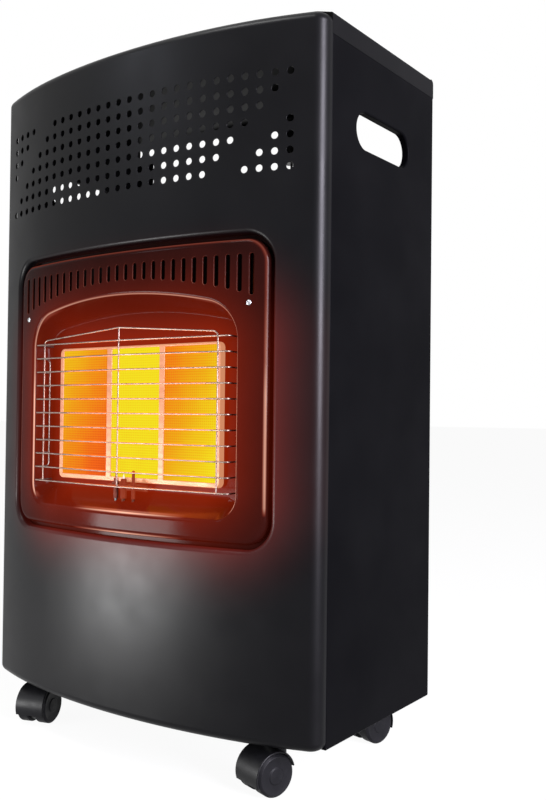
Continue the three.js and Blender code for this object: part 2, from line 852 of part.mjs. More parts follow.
function rearCover() {
  const face = backY + gap;
  const skin = face + sheet;
  const stand = backY + rearCoverStand;
  const middle = (rearCoverTop + rearCoverBottom) / 2;
  const width = bodyWidth - 2 * rearCoverInset;
  const height = rearCoverTop - rearCoverBottom;
  const plate = roundedBox(0, middle, width, height, rearCoverCorner);
  const inner = rearCoverCorner - sheet;
  const field = roundedBox(0, middle, width - 2 * sheet, height - 2 * sheet, inner);
  const slotHalf = louvreLength / 2 - louvreEnd;
  const hoods = [];
  const slots = [];
  for (let row = 0; row < louvreRows; row++) {
    for (const x of [-louvreColumn, louvreColumn]) {
      const low = louvreLevel + row * louvrePitch;
      hoods.push(louvre(x, low));
      slots.push(
        block(x - slotHalf, x + slotHalf, face - lap, stand + lap, low, low + louvreHeight),
      );
    }
  }
  const grip = roundedBox(0, rearCoverTop - gripFromTop, gripLength, gripHeight, gripHeight / 2);
  const tongues = tongueLevels().flatMap((level) =>
    [-1, 1].map((side) =>
      block(
        side * tongueX - tongueWidth / 2,
        side * tongueX + tongueWidth / 2,
        backY - tongueReach,
        face + sheet / 2,
        level - tongueHeight / 2,
        level + tongueHeight / 2,
      ),
    ),
  );
  const pressed = cut(prismY(plate, face, stand, 1), prismY(field, skin, stand + lap, 1));
  return join(cut(pressed, slots, prismY(grip, face - lap, stand + lap)), hoods, tongues);
}

function heatShield() {
  const front = frontY + shieldDepth;
  const half = halfWidth - sheet - gap;
  return join(
    block(-half, half, front, front + sheet, shieldBottom, shieldTop),
    block(half - sheet, half, front, front + shieldFlange, shieldBottom, shieldTop),
    block(-half, -half + sheet, front, front + shieldFlange, shieldBottom, shieldTop),
    block(-half, half, front, front + shieldFlange, shieldTop - sheet, shieldTop),
  );
}

// ---- Reflector pan ------------------------------------------------------------------------

const recessFloor = frontY + recessDepth;

// The arched outline of the recess, grown outwards by a given distance.
function recessShape(grow) {
  const crownLevel = recessCrown - recessCrownRadius;
  const shoulderX = recessHalfWidth - recessShoulder;
  const shoulderZ = crownLevel + Math.sqrt((recessCrownRadius - recessShoulder) ** 2 - shoulderX ** 2);
  const footX = recessHalfWidth - recessFoot;
  const footZ = recessBottom + recessFoot;
  const lean = Math.atan2(shoulderZ - crownLevel, shoulderX);
  const shape = new THREE.Shape();
  shape.absarc(footX, footZ, recessFoot + grow, -Math.PI / 2, 0);
  shape.absarc(shoulderX, shoulderZ, recessShoulder + grow, 0, lean);
  shape.absarc(0, crownLevel, recessCrownRadius + grow, lean, Math.PI - lean);
  shape.absarc(-shoulderX, shoulderZ, recessShoulder + grow, Math.PI - lean, Math.PI);
  shape.absarc(-footX, footZ, recessFoot + grow, Math.PI, 1.5 * Math.PI);
  return shape;
}

function recessSlope(outZ) {
  const most = outZ > 0 ? recessTopSlope : recessBottomSlope;
  return recessSideSlope + (most - recessSideSlope) * outZ ** 2;
}

// The recess is drawn from the plate round its outline: a rolled lip, a sloping wall, the floor.
function recessWall() {
  const stops = traced(recessShape(0), 2);
  const rings = stops.map((stop) => {
    const slope = recessSlope(stop.outZ);
    const place = (out) => [stop.x + out * stop.outX, stop.z + out * stop.outZ];
    const near = ([out, deep]) => {
      const [x, z] = place(out);
      return new THREE.Vector3(x, frontY + stripDepth(x, panSet + deep), z);
    };
    const far = ([out, deep]) => {
      const [x, z] = place(out);
      return new THREE.Vector3(x, recessFloor + deep, z);
    };
    return [
      near([recessLip + lap, 0]),
      ...roll(recessLip, 0).map(near),
      far([-slope, 0]),
      far([-slope - lap, 0]),
      far([-slope - lap, sheet]),
      far([-slope + sheet, sheet]),
      ...roll(recessLip, sheet).reverse().map(near),
      near([recessLip + lap, sheet]),
    ];
  });
  const floorPlan = stops.map((stop) => {
    const slope = recessSlope(stop.outZ) + lap / 2;
    return [stop.x - slope * stop.outX, stop.z - slope * stop.outZ];
  });
  return join(loft(rings), prismY(polygon(floorPlan), recessFloor, recessFloor + sheet));
}

function panSlots() {
  const crownLevel = recessCrown - recessCrownRadius;
  const slots = [];
  for (let i = 0; i < slotCount; i++) {
    const x = (i - (slotCount - 1) / 2) * slotPitch;
    const foot = crownLevel + Math.sqrt((recessCrownRadius + slotAboveRecess) ** 2 - x ** 2);
    const shape = new THREE.Shape();
    shape.absarc(x, slotTop - slotWidth / 2, slotWidth / 2, 0, Math.PI);
    shape.absarc(x, foot + slotWidth / 2, slotWidth / 2, Math.PI, 2 * Math.PI);
    slots.push(throughBow(shape, 1));
  }
  return slots;
}

function reflectorPan() {
  const slabSection = [
    [panSet, windowTop],
    [panSet, windowBottom],
    [panSet + sheet, windowBottom],
    [panSet + sheet, windowTop],
  ];
  const slab = loft(
    bowEdges.map((u) => slabSection.map(([deep, z]) => onBow(u, deep, z))),
    slabSection.map(([deep, z]) => new THREE.Vector2(deep, z)),
  );
  const flat = panGroove + panRoll;
  const plate = slab.intersect(throughBow(seenFromFront(windowShape(flat), 2)));
  const face = panSet;
  const flangeDepth = rimDepth + gap;
  const rim = bowRim(windowShape(panGroove), [
    [-panRoll - lap, face],
    ...roll(panRoll, 0).map(([out, deep]) => [-out, face + deep]),
    [0, flangeDepth],
    [panFlange, flangeDepth],
    [panFlange, flangeDepth + sheet],
    [-sheet, flangeDepth + sheet],
    ...roll(panRoll, sheet).reverse().map(([out, deep]) => [-out, face + deep]),
    [-panRoll - lap, face + sheet],
  ]);
  const mouth = throughBow(recessShape(recessLip));
  const burnerHole = roundedBox(
    0,
    (burnerTop + burnerBottom) / 2,
    2 * (burnerHalfWidth - sheet),
    burnerTop - burnerBottom - 2 * sheet,
    burnerCorner - sheet,
  );
  const screws = [-1, 1].map((side) =>
    rodY(side * panScrewHalf, recessCrown - panScrewDrop, panScrewRadius, 8),
  );
  const hooks = [1, guardRows].flatMap((row) =>
    [-1, 1].map((side) => rodY(side * guardRearHalfWidth, guardLevel(row), guardWire + gap, 8)),
  );
  const feet = pilotParts().map(([x, radius]) =>
    rod(x, pilotY, recessBottom - recessLip, pilotBracketLevel, radius + pilotClearance, 8),
  );
  return cut(
    join(cut(plate, mouth), rim, recessWall()),
    prismY(burnerHole, recessFloor - lap, recessFloor + sheet + lap, 1),
    panSlots(),
    screws,
    hooks,
    feet,
  );
}

// A short cutter along Y, through the pan.
function rodY(x, z, radius, sides) {
  const cylinder = new THREE.CylinderGeometry(radius, radius, seamY - frontY, sides);
  return solid(cylinder.translate(x, (frontY + seamY) / 2, z));
}

// ---- Burner -------------------------------------------------------------------------------

const burnerFace = recessFloor - burnerStand;
const plaqueY = burnerFace + frameLip + gap;
const boxY = plaqueY + plaqueThickness + gap;
const plaqueSpan = 2 * (burnerHalfWidth - windowSide) + windowBar;
const plaqueStep = plaqueSpan / plaqueCount;
const plaqueHalf = plaqueStep / 2 - windowBar / 2 + plaqueLap;
const plaqueLow = burnerBottom + sheet + 2 * gap;
const plaqueHigh = burnerTop - sheet - 2 * gap;
const supplyY = frontY + supplyPlane;
const venturiLow = plaqueLow - venturiDrop;
const injectorTip = venturiLow - lap;
const injectorBase = injectorTip - injectorLength;
const shelfLow = injectorBase + injectorSeat;

function plaqueX(i) {
  return (i - (plaqueCount - 1) / 2) * plaqueStep;
}

function burnerFrame() {
  const middle = (burnerTop + burnerBottom) / 2;
  const height = burnerTop - burnerBottom;
  const outer = roundedBox(0, middle, 2 * burnerHalfWidth, height, burnerCorner);
  const inner = roundedBox(
    0,
    middle,
    2 * (burnerHalfWidth - sheet),
    height - 2 * sheet,
    burnerCorner - sheet,
  );
  const windows = [];
  for (let i = 0; i < plaqueCount; i++) {
    const half = (plaqueStep - windowBar) / 2;
    windows.push(
      block(
        plaqueX(i) - half,
        plaqueX(i) + half,
        burnerFace - lap,
        burnerFace + frameLip + lap,
        burnerBottom + windowFoot,
        burnerTop - windowHead,
      ),
    );
  }
  return cut(
    prismY(outer, burnerFace, recessFloor - gap),
    prismY(inner, burnerFace + frameLip, recessFloor + lap),
    windows,
  );
}

function plaque(i) {
  const x = plaqueX(i);
  return block(
    x - plaqueHalf,
    x + plaqueHalf,
    plaqueY,
    plaqueY + plaqueThickness,
    plaqueLow,
    plaqueHigh,
  );
}

// A pressed box behind a plaque, with the tube that draws in air and gas from below.
function burnerBox(i) {
  const x = plaqueX(i);
  const wide = venturiMouth;
  const bore = venturiRadius - sheet;
  const rim = venturiLow + venturiRim;
  const throat = rim + venturiTaper;
  const box = cut(
    block(x - plaqueHalf, x + plaqueHalf, boxY, boxY + boxDepth, plaqueLow, plaqueHigh),
    block(
      x - plaqueHalf + sheet,
      x + plaqueHalf - sheet,
      boxY - lap,
      boxY + boxDepth - sheet,
      plaqueLow + sheet,
      plaqueHigh - sheet,
    ),
  );
  const tube = turned(x, supplyY, [
    [0, venturiLow],
    [wide, venturiLow],
    [wide, rim],
    [venturiRadius, throat],
    [venturiRadius, plaqueLow + sheet],
    [0, plaqueLow + sheet],
  ]);
  const way = turned(x, supplyY, [
    [0, venturiLow - lap],
    [wide - sheet, venturiLow - lap],
    [wide - sheet, rim],
    [bore, throat],
    [bore, plaqueLow + 2 * sheet],
    [0, plaqueLow + 2 * sheet],
  ]);
  return cut(join(box, tube), way);
}

function injectorBracket() {
  const wall = recessFloor + sheet + gap;
  const reach = plaqueX(plaqueCount - 1) + injectorBracketEnd;
  const holes = [];
  for (let i = 0; i < plaqueCount; i++) {
    const hole = injectorRadius + gap;
    holes.push(rod(plaqueX(i), supplyY, shelfLow - lap, shelfLow + sheet + lap, hole, 12));
  }
  return cut(
    join(
      block(-reach, reach, wall, wall + sheet, shelfLow, burnerBottom - sheet),
      block(-reach, reach, wall, supplyY + injectorShelf, shelfLow, shelfLow + sheet),
    ),
    holes,
  );
}

function injector(i) {
  const seat = shelfLow + sheet + gap;
  const collar = injectorRadius + injectorCollar;
  const neck = injectorRadius - injectorTipRadius / 2;
  return turned(
    plaqueX(i),
    supplyY,
    [
      [0, injectorBase],
      [injectorRadius, injectorBase],
      [injectorRadius, seat],
      [collar, seat],
      [collar, seat + injectorCollarHeight],
      [neck, seat + injectorCollarHeight],
      [neck, injectorTip - injectorCollarHeight],
      [injectorTipRadius, injectorTip],
      [0, injectorTip],
    ],
    10,
  );
}

// ---- Wire guard ---------------------------------------------------------------------------

function guardLevel(row) {
  return guardTop - (row - 1) * guardRowPitch;
}

// Across the front each wire runs straight from the corner to the crown and back.
function guardAcross(x, z, set = 0) {
  const depth = guardCrown + ((guardCorner - guardCrown) * Math.abs(x)) / guardHalfWidth;
  return [x, frontY + depth + set, z];
}

function guardRow(row) {
  const z = guardLevel(row);
  const hooked = row === 1 || row === guardRows;
  const rear = hooked ? recessDepth + guardHook : guardRear;
  const end = (side) => [side * guardRearHalfWidth, frontY + rear, z];
  const path = [
    end(-1),
    guardAcross(-guardHalfWidth, z),
    guardAcross(0, z),
    guardAcross(guardHalfWidth, z),
    end(1),
  ];
  return wire(bendPath(path, guardBend, 1), guardWire, 5);
}

// One wire makes the second row, the tenth and both rear uprights.
function guardHoop() {
  const high = guardLevel(2);
  const low = guardLevel(guardRows - 1);
  const middle = (high + low) / 2;
  const rear = (side, z) => [side * guardRearHalfWidth, frontY + guardRear, z];
  const path = [
    rear(-1, middle),
    rear(-1, high),
    guardAcross(-guardHalfWidth, high),
    guardAcross(0, high),
    guardAcross(guardHalfWidth, high),
    rear(1, high),
    rear(1, low),
    guardAcross(guardHalfWidth, low),
    guardAcross(0, low),
    guardAcross(-guardHalfWidth, low),
    rear(-1, low),
    rear(-1, middle),
  ];
  const bent = bendPath(path, guardBend, 1);
  bent.pop();
  return wire(bent, guardWire, 5, true);
}

// The legs and the peaked top are one wire, with a single upright at the middle.
function guardLoop() {
  const behind = 1.5 * guardWire;
  const foot = guardLevel(guardRows) - guardWire;
  const shoulder = guardTop + guardShoulderRise;
  const peak = guardTop + guardPeakRise;
  const loop = [
    guardAcross(-guardLegs, foot, behind),
    guardAcross(-guardLegs, shoulder, behind),
    guardAcross(0, peak, behind),
    guardAcross(guardLegs, shoulder, behind),
    guardAcross(guardLegs, foot, behind),
  ];
  const upright = [guardAcross(0, foot, behind), guardAcross(0, peak, behind)];
  return join(
    wire(bendPath(loop, guardLoopBend, 2), guardWire, 5),
    wire(bendPath(upright, guardLoopBend), guardWire, 5),
  );
}

function wireGuard() {
  const rows = [];
  for (let row = 1; row <= guardRows; row++) {
    if (row !== 2 && row !== guardRows - 1) rows.push(guardRow(row));
  }
  return join(guardHoop(), rows, guardLoop());
}

// ---- Pilot and ignition -------------------------------------------------------------------

const pilotY = frontY + pilotDepth;
const pilotLow = pilotBracketLevel - pilotFoot;

// Each piece on the pilot bracket: its place and the radius of its shank.
function pilotParts() {
  return [
    [sparkX, sparkRadius],
    [pilotX, pilotRadius],
    [thermocoupleX, thermocoupleRadius],
  ];
}

function pilotBracket() {
  const left = sparkX - pilotBracketEnd;
  const right = thermocoupleX + pilotBracketEnd;
  const wall = recessFloor - gap;
  const low = pilotBracketLevel;
  const holes = pilotParts().map(([x, radius]) =>
    rod(x, pilotY, low - lap, low + sheet + lap, radius + gap, 10),
  );
  return cut(
    join(
      block(left, right, wall - sheet, wall, low - pilotBracketEdge, low + sheet),
      block(left, right, pilotY - pilotBracketEdge, wall, low, low + sheet),
    ),
    holes,
  );
}

// A turned piece held on the pilot bracket by a collar, with its tip given above the bracket.
function pilotPiece([x, radius], tip) {
  const seat = pilotBracketLevel + sheet + gap;
  return turned(
    x,
    pilotY,
    [
      [0, pilotLow],
      [radius, pilotLow],
      [radius, seat],
      [radius + pilotCollar, seat],
      [radius + pilotCollar, seat + pilotCollarHeight],
      [radius, seat + pilotCollarHeight],
      ...tip.map(([r, height]) => [r, seat + height]),
    ],
    10,
  );
}

// ---- Tubes and leads ----------------------------------------------------------------------

// From the controls at the rear, forward over the heat shield, down beside the burner, across
// under it and up to the piece that it feeds.
function feed(start, startLevel, runLevel, downX, downY, crossLevel, end, endLevel, radius) {
  const points = [
    [start[0], start[1], startLevel],
    [start[0], start[1], runLevel],
    [downX, downY, runLevel],
    [downX, downY, crossLevel],
    [end[0], downY, crossLevel],
  ];
  if (Math.abs(end[1] - downY) > 1) points.push([end[0], end[1], crossLevel]);
  points.push([end[0], end[1], endLevel]);
  return wire(bendPath(points, tubeBend, 2), radius, 6);
}

const valveTop = pocketFloor - gap;
const valveLow = valveTop - valveBonnet - valveHeight;
const nutLow = valveLow - valveNutHeight;
const supplyBeside = burnerHalfWidth + supplyClearance;
const leadBeside = halfWidth - sideFrontFlange - leadClearance - (leadCount - 1) * valvePitch;

function supplyTube(i) {
  const x = knobX + (i - 1) * valvePitch;
  const order = plaqueCount - 1 - i;
  return feed(
    [x, controlsY],
    nutLow - gap,
    supplyRunLevel,
    supplyBeside + i * valvePitch,
    supplyY,
    injectorBase - supplyDrop - i * tubeStagger,
    [plaqueX(order), supplyY],
    injectorBase - gap,
    supplyRadius,
  );
}

function lead(start, startLevel, runLevel, order, partX, radius) {
  return feed(
    start,
    startLevel,
    runLevel,
    leadBeside + order * valvePitch,
    frontY + leadPlane,
    injectorBase - leadDrop - order * tubeStagger,
    [partX, pilotY],
    pilotLow - gap,
    radius,
  );
}

// ---- Controls -----------------------------------------------------------------------------

const secondRowY = controlsY - valveRowStep;
const leadOutlets = { thermocouple: knobX - 5, pilot: knobX + 5 };
const plateLow = pocketFloor + sheet + gap;
const plateTop = plateLow + plateGauge;
const knobLow = plateTop + gap + knobTravel;
const knobTop = knobLow + knobHeight;
const knobBore = knobTop - knobCrown;
const spindleTop = knobBore - knobTravel - gap;
const spindleLow = valveTop - valveBonnet - spindleDepth;

function gasValve() {
  const nuts = [];
  for (let i = 0; i < plaqueCount; i++) {
    nuts.push(rod(knobX + (i - 1) * valvePitch, controlsY, nutLow, valveLow + lap, valveNut, 6));
  }
  for (const x of Object.values(leadOutlets)) {
    nuts.push(rod(x, secondRowY, nutLow, valveLow + lap, valveNut - 1, 6));
  }
  const shape = roundedBox(knobX, controlsY, valveWidth, valveLength, valveCorner);
  const bonnet = spindleRadius + valveBonnetWall;
  const bonnetLow = valveTop - valveBonnet;
  return cut(
    join(
      prismZ(shape, valveLow, bonnetLow, 1),
      rod(knobX, controlsY, bonnetLow - lap, valveTop, bonnet, 16),
      nuts,
    ),
    rod(knobX, controlsY, spindleLow - gap, valveTop + lap, spindleRadius + gap, 16),
  );
}

function hoseTail() {
  const top = valveLow - gap;
  const low = top - hoseTailLength;
  const first = top - hoseNutHeight;
  const pitch = (first - low) / hoseBarbs;
  const points = [
    [hoseTailBore, top],
    [hoseNut, top],
    [hoseNut, first],
  ];
  for (let i = 0; i < hoseBarbs; i++) {
    const z = first - i * pitch;
    points.push([hoseTailRadius, z], [hoseTailRadius, z - pitch / 3], [hoseBarb, z - pitch / 3]);
  }
  points.push([hoseTailRadius, low], [hoseTailBore, low], [hoseTailBore, top]);
  return turned(knobX + hoseTailX, secondRowY, points.reverse(), 12);
}

function valveSpindle() {
  return rod(knobX, controlsY, spindleLow, spindleTop, spindleRadius, 16);
}

function controlKnob() {
  const skirtTop = knobLow + knobSkirt;
  const barLength = 2 * (knobRadius - knobChamfer);
  const grip = roundedBox(knobX, controlsY, barLength, knobGrip, knobGrip / 2 - gap);
  const skirt = [
    [0, knobLow],
    [knobRadius, knobLow],
    [knobRadius, skirtTop - knobChamfer],
    [knobRadius - knobChamfer, skirtTop],
    [knobRadius - knobCrown, skirtTop + lap],
    [0, skirtTop + lap],
  ];
  return cut(
    join(turned(knobX, controlsY, skirt, 18), prismZ(grip, knobLow + knobChamfer, knobTop)),
    rod(knobX, controlsY, knobLow - lap, knobBore, spindleRadius + gap, 16),
  );
}

function controlPlate() {
  return cut(
    prismZ(pocketShape(-plateClearance), plateLow, plateTop, 1),
    rod(knobX, controlsY, plateLow - lap, plateTop + lap, spindleHole, 16),
    rod(igniterX, controlsY, plateLow - lap, plateTop + lap, igniterNeck + gap, 16),
  );
}

const igniterLow = pocketFloor - gap - igniterDepth;
const igniterRim = plateTop + igniterRimHeight;
const buttonBore = igniterRim - igniterBore;

function igniterBody() {
  const under = pocketFloor - gap;
  return turned(igniterX, controlsY, [
    [0, igniterLow],
    [igniterNeck + igniterWall, igniterLow],
    [igniterNeck + igniterWall, under - igniterShoulderHeight],
    [igniterNeck + igniterShoulder, under - igniterShoulderHeight],
    [igniterNeck + igniterShoulder, under],
    [igniterNeck, under],
    [igniterNeck, plateTop + gap],
    [igniterNeck + igniterBezel, plateTop + gap],
    [igniterNeck + igniterBezel, plateTop + igniterBezel],
    [igniterNeck, igniterRim],
    [buttonRadius + gap, igniterRim],
    [buttonRadius + gap, buttonBore],
    [0, buttonBore],
  ]);
}

function igniterButton() {
  const low = buttonBore + buttonTravel + gap;
  const top = igniterRim + buttonTravel + buttonRadius / 2;
  return turned(igniterX, controlsY, [
    [0, low],
    [buttonRadius, low],
    [buttonRadius, top - knobChamfer],
    [buttonRadius - knobChamfer, top],
    [0, top],
  ]);
}

// ---- Castors ------------------------------------------------------------------------------

function castorPlaces() {
  const front = frontY + castorFront;
  const rear = backY - castorRear;
  const side = halfWidth - castorInset;
  return [
    ["front_left", -side, front],
    ["front_right", side, front],
    ["rear_left", -side, rear],
    ["rear_right", side, rear],
  ];
}

const socketLow = trayLow - gap - socketGauge;
const socketTop = trayTop + socketRise;
const stemTop = socketTop - stemGap;
const bossTop = socketLow - bossGap;

function castorSocket() {
  const bore = stemRadius + gap;
  return turned(
    0,
    0,
    [
      [0, socketTop - socketGauge],
      [bore, socketTop - socketGauge],
      [bore, socketLow],
      [socketFlange, socketLow],
      [socketFlange, trayLow - gap],
      [socketRadius, trayLow - gap],
      [socketRadius, socketTop],
      [0, socketTop],
    ],
    10,
  );
}

// Hood, web between the wheels, boss and stem. The stem is on the swivel axis.
function castorBody() {
  const half = wheelCentre - wheelWidth / 2 - gap;
  const reach = wheelCentre + wheelWidth / 2 - wheelChamfer / 2;
  const inner = hoodRadius - hoodGauge;
  const from = THREE.MathUtils.degToRad(hoodStartAngle);
  const to = THREE.MathUtils.degToRad(hoodEndAngle);
  const hood = new THREE.Shape();
  hood.absarc(castorTrail, wheelRadius, hoodRadius, from, to);
  hood.absarc(castorTrail, wheelRadius, inner, to, from, true);
  const web = new THREE.Shape();
  web.absarc(castorTrail, wheelRadius, wheelRadius - webInset, 0, 2 * Math.PI);
  const crown = new THREE.Shape();
  crown.absarc(castorTrail, wheelRadius, hoodRadius - hoodGauge / 2, from, to);
  const clear = new THREE.Shape();
  clear.absarc(castorTrail, wheelRadius, inner, 0, 2 * Math.PI);
  const boss = cut(
    rod(0, 0, wheelRadius, bossTop, stemRadius + bossWall, 10),
    prismY(clear, -reach - lap, reach + lap, 8),
  );
  return cut(
    join(
      prismY(hood, -reach, reach, 4),
      prismY(crown, -half, half, 4),
      prismY(web, -half, half, 5),
      boss,
      rod(0, 0, bossTop - bossWall, stemTop, stemRadius, 10),
    ),
    axleRod(axleRadius + gap, reach + lap),
  );
}

function axleRod(radius, half) {
  const cylinder = new THREE.CylinderGeometry(radius, radius, 2 * half, 8);
  return solid(cylinder.translate(castorTrail, 0, wheelRadius));
}

// A wheel about the Y axis, with its closed outer face towards +Y.
function castorWheel() {
  const half = wheelWidth / 2;
  const bore = axleRadius + gap;
  const points = [
    [0, half - wheelCap],
    [bore, half - wheelCap],
    [bore, -half],
    [wheelRadius, -half],
    [wheelRadius, half - wheelChamfer],
    [wheelRadius - wheelChamfer, half],
    [0, half],
  ];
  const profile = points.map(([radius, height]) => new THREE.Vector2(radius, height));
  return solid(new THREE.LatheGeometry(profile, 16));
}

// ---- The assembly -------------------------------------------------------------------------

const finishes = {
  blackPaint: { color: 0x1e1e21, roughness: 0.42, metalness: 0.1 },
  enamel: { color: 0x2c1a1c, roughness: 0.12, metalness: 0.0 },
  steel: { color: 0xb9bbbd, roughness: 0.4, metalness: 1.0 },
  heatTinted: { color: 0xc9a28f, roughness: 0.35, metalness: 1.0 },
  chrome: { color: 0xdedcda, roughness: 0.15, metalness: 1.0 },
  ceramic: { color: 0xf2b13a, roughness: 0.85, metalness: 0.0 },
  glaze: { color: 0xece7dc, roughness: 0.25, metalness: 0.0 },
  brass: { color: 0xb98f4b, roughness: 0.3, metalness: 1.0 },
  copper: { color: 0xb06a48, roughness: 0.35, metalness: 1.0 },
  rubber: { color: 0x17171a, roughness: 0.75, metalness: 0.0 },
  plastic: { color: 0x141416, roughness: 0.5, metalness: 0.0 },
  redPlastic: { color: 0x8e1512, roughness: 0.4, metalness: 0.0 },
};

function mesh(name, whole, finish) {
  const part = new THREE.Mesh(geometryOf(whole), new THREE.MeshStandardMaterial(finishes[finish]));
  part.name = name;
  return part;
}

function cabinet() {
  const group = new THREE.Group();
  group.add(
    mesh("front_panel", frontPanel(), "blackPaint"),
    mesh("side_panel_right", sidePanel(), "blackPaint"),
    mesh("side_panel_left", mirrored(sidePanel()), "blackPaint"),
    mesh("top_cover", topCover(), "blackPaint"),
    mesh("base_tray", baseTray(), "blackPaint"),
    mesh("rear_cover", rearCover(), "blackPaint"),
    mesh("heat_shield", heatShield(), "steel"),
  );
  return group;
}

function burner() {
  const group = new THREE.Group();
  const sides = ["left", "centre", "right"];
  group.add(
    mesh("reflector_pan", reflectorPan(), "enamel"),
    mesh("burner_frame", burnerFrame(), "heatTinted"),
    mesh("wire_guard", wireGuard(), "chrome"),
    mesh("injector_bracket", injectorBracket(), "steel"),
  );
  sides.forEach((side, i) => {
    group.add(
      mesh("ceramic_plaque_" + side, plaque(i), "ceramic"),
      mesh("burner_box_" + side, burnerBox(i), "steel"),
      mesh("injector_" + side, injector(i), "brass"),
      mesh("supply_tube_" + side, supplyTube(plaqueCount - 1 - i), "copper"),
    );
  });
  return group;
}

function pilotAssembly() {
  const group = new THREE.Group();
  const [spark, pilot, thermocouple] = pilotParts();
  const bevel = pilotNozzle / 6;
  const nozzle = [
    [pilotRadius, pilotNozzle - bevel],
    [pilotRadius - bevel, pilotNozzle],
    [0, pilotNozzle],
  ];
  const needle = [
    [sparkRadius, sparkCeramic],
    [sparkNeedle, sparkCeramic + sparkNeedle],
    [sparkNeedle, sparkReach],
    [0, sparkReach],
  ];
  const tip = [
    [thermocoupleTip, 2 * pilotCollarHeight],
    [thermocoupleTip, thermocoupleReach - thermocoupleTip / 2],
    [0, thermocoupleReach],
  ];
  const thermocoupleStart = [leadOutlets.thermocouple, secondRowY];
  const pilotStart = [leadOutlets.pilot, secondRowY];
  const sparkStart = [igniterX, controlsY];
  group.add(
    mesh("pilot_bracket", pilotBracket(), "steel"),
    mesh("spark_electrode", pilotPiece(spark, needle), "glaze"),
    mesh("pilot_burner", pilotPiece(pilot, nozzle), "brass"),
    mesh("thermocouple", pilotPiece(thermocouple, tip), "copper"),
    mesh(
      "thermocouple_lead",
      lead(thermocoupleStart, nutLow - gap, leadRunLevel, 0, thermocoupleX, thermocoupleLead),
      "copper",
    ),
    mesh(
      "pilot_tube",
      lead(pilotStart, nutLow - gap, leadRunLevel, 1, pilotX, pilotTube),
      "copper",
    ),
    mesh(
      "ignition_lead",
      lead(sparkStart, igniterLow - gap, ignitionRunLevel, 2, sparkX, thermocoupleLead),
      "plastic",
    ),
  );
  return group;
}

function controls() {
  const group = new THREE.Group();
  group.add(
    mesh("control_plate", controlPlate(), "steel"),
    mesh("gas_valve", gasValve(), "brass"),
    mesh("hose_tail", hoseTail(), "brass"),
    mesh("valve_spindle", valveSpindle(), "brass"),
    mesh("control_knob", controlKnob(), "plastic"),
    mesh("igniter_body", igniterBody(), "plastic"),
    mesh("igniter_button", igniterButton(), "redPlastic"),
  );
  return group;
}

function castors() {
  const group = new THREE.Group();
  const axleHalf = wheelCentre + wheelWidth / 2 - wheelCap - lap;
  for (const [name, x, y] of castorPlaces()) {
    const castor = new THREE.Group();
    castor.position.set(x, y, 0);
    castor.rotation.z = THREE.MathUtils.degToRad(castorTurns[name]);
    castor.add(
      mesh("castor_" + name + "_body", castorBody(), "plastic"),
      mesh("castor_" + name + "_axle", axleRod(axleRadius, axleHalf), "steel"),
    );
    for (const side of [1, -1]) {
      const wheel = mesh(
        "castor_" + name + "_wheel_" + (side > 0 ? "a" : "b"),
        castorWheel(),
        "rubber",
      );
      wheel.position.set(castorTrail, side * wheelCentre, wheelRadius);
      wheel.rotation.z = side > 0 ? 0 : Math.PI;
      castor.add(wheel);
    }
    const socket = mesh("castor_" + name + "_socket", castorSocket(), "steel");
    socket.position.set(x, y, 0);
    group.add(castor, socket);
  }
  return group;
}

const heater = new THREE.Group();
heater.add(cabinet(), burner(), pilotAssembly(), controls(), castors());

export default heater;
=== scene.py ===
import math

import bpy
from mathutils import Matrix, Vector, geometry


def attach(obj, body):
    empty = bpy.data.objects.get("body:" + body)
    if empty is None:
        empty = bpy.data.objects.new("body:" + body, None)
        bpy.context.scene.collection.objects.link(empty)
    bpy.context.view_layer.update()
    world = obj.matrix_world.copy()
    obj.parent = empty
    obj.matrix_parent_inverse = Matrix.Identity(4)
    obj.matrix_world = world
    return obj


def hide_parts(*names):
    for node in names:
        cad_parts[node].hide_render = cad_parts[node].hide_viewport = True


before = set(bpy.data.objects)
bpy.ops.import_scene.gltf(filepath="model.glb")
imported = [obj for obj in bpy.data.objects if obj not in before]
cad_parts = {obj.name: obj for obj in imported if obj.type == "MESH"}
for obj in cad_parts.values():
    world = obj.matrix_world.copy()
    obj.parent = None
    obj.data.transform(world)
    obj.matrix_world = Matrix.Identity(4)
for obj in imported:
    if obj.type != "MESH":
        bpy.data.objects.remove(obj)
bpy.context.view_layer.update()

bpy.context.scene.view_settings.view_transform = "Standard"
up = Vector((0, 0, 1))
milli = 0.001

# Sizes that can be changed, one dictionary for each piece, in millimetres.

cabinet = {
    "half": 225,
    "front": -133,
    "back": 129,
    "bottom": 50,
    "top": 730,
    "sheet": 1.2,
    "gap": 0.3,
    "bowRadius": 738,
    "bowArc": 120,
    "shoulderRadius": 534,
    "cornerRadius": 15,
    "frontReturn": 3,
    "screwX": 211,
    "screwLevels": (620, 690),
    "screwRadius": 3.2,
}
frontPanel = {
    "roll": 9,
    "flange": 13,
    "rimRoll": 4.5,
    "rimDepth": 10,
    "windowHalf": 183,
    "windowLow": 229,
    "windowHigh": 527,
    "windowCorner": 29,
    # The burner's red light, painted on the panel round the window as glow.
    "glow": {"middle": (12, 352), "half": (168, 122), "corner": 60, "reach": 84, "power": 3.2, "strength": 0.12},
}
vents = {
    "pitch": 15.2,
    "rowPitch": 14.67,
    "rows": 7,
    "topRow": 674,
    "radius": 3.5,
    "bevel": 0.35,
    "columns": 13,
    "sides": 20,
    "skip": (-8, -7, 15, 16),
}
sidePanel = {
    "bend": 1.6,
    "frontFlange": 38,
    "rearFlange": 26.5,
    "bottomFlange": 18,
    "handleMiddle": 18.5,
    "handleLevel": 634.6,
    "handleLength": 107,
    "handleHeight": 36,
    "handleRoll": 2.2,
    "handleDepth": 8,
}
topCover = {"band": 20, "bend": 1.8, "rearRoll": 5}
pocket = {"width": 84, "length": 49, "depth": 30, "fromBack": 10, "centre": 82, "corner": 5, "lip": 1.2}
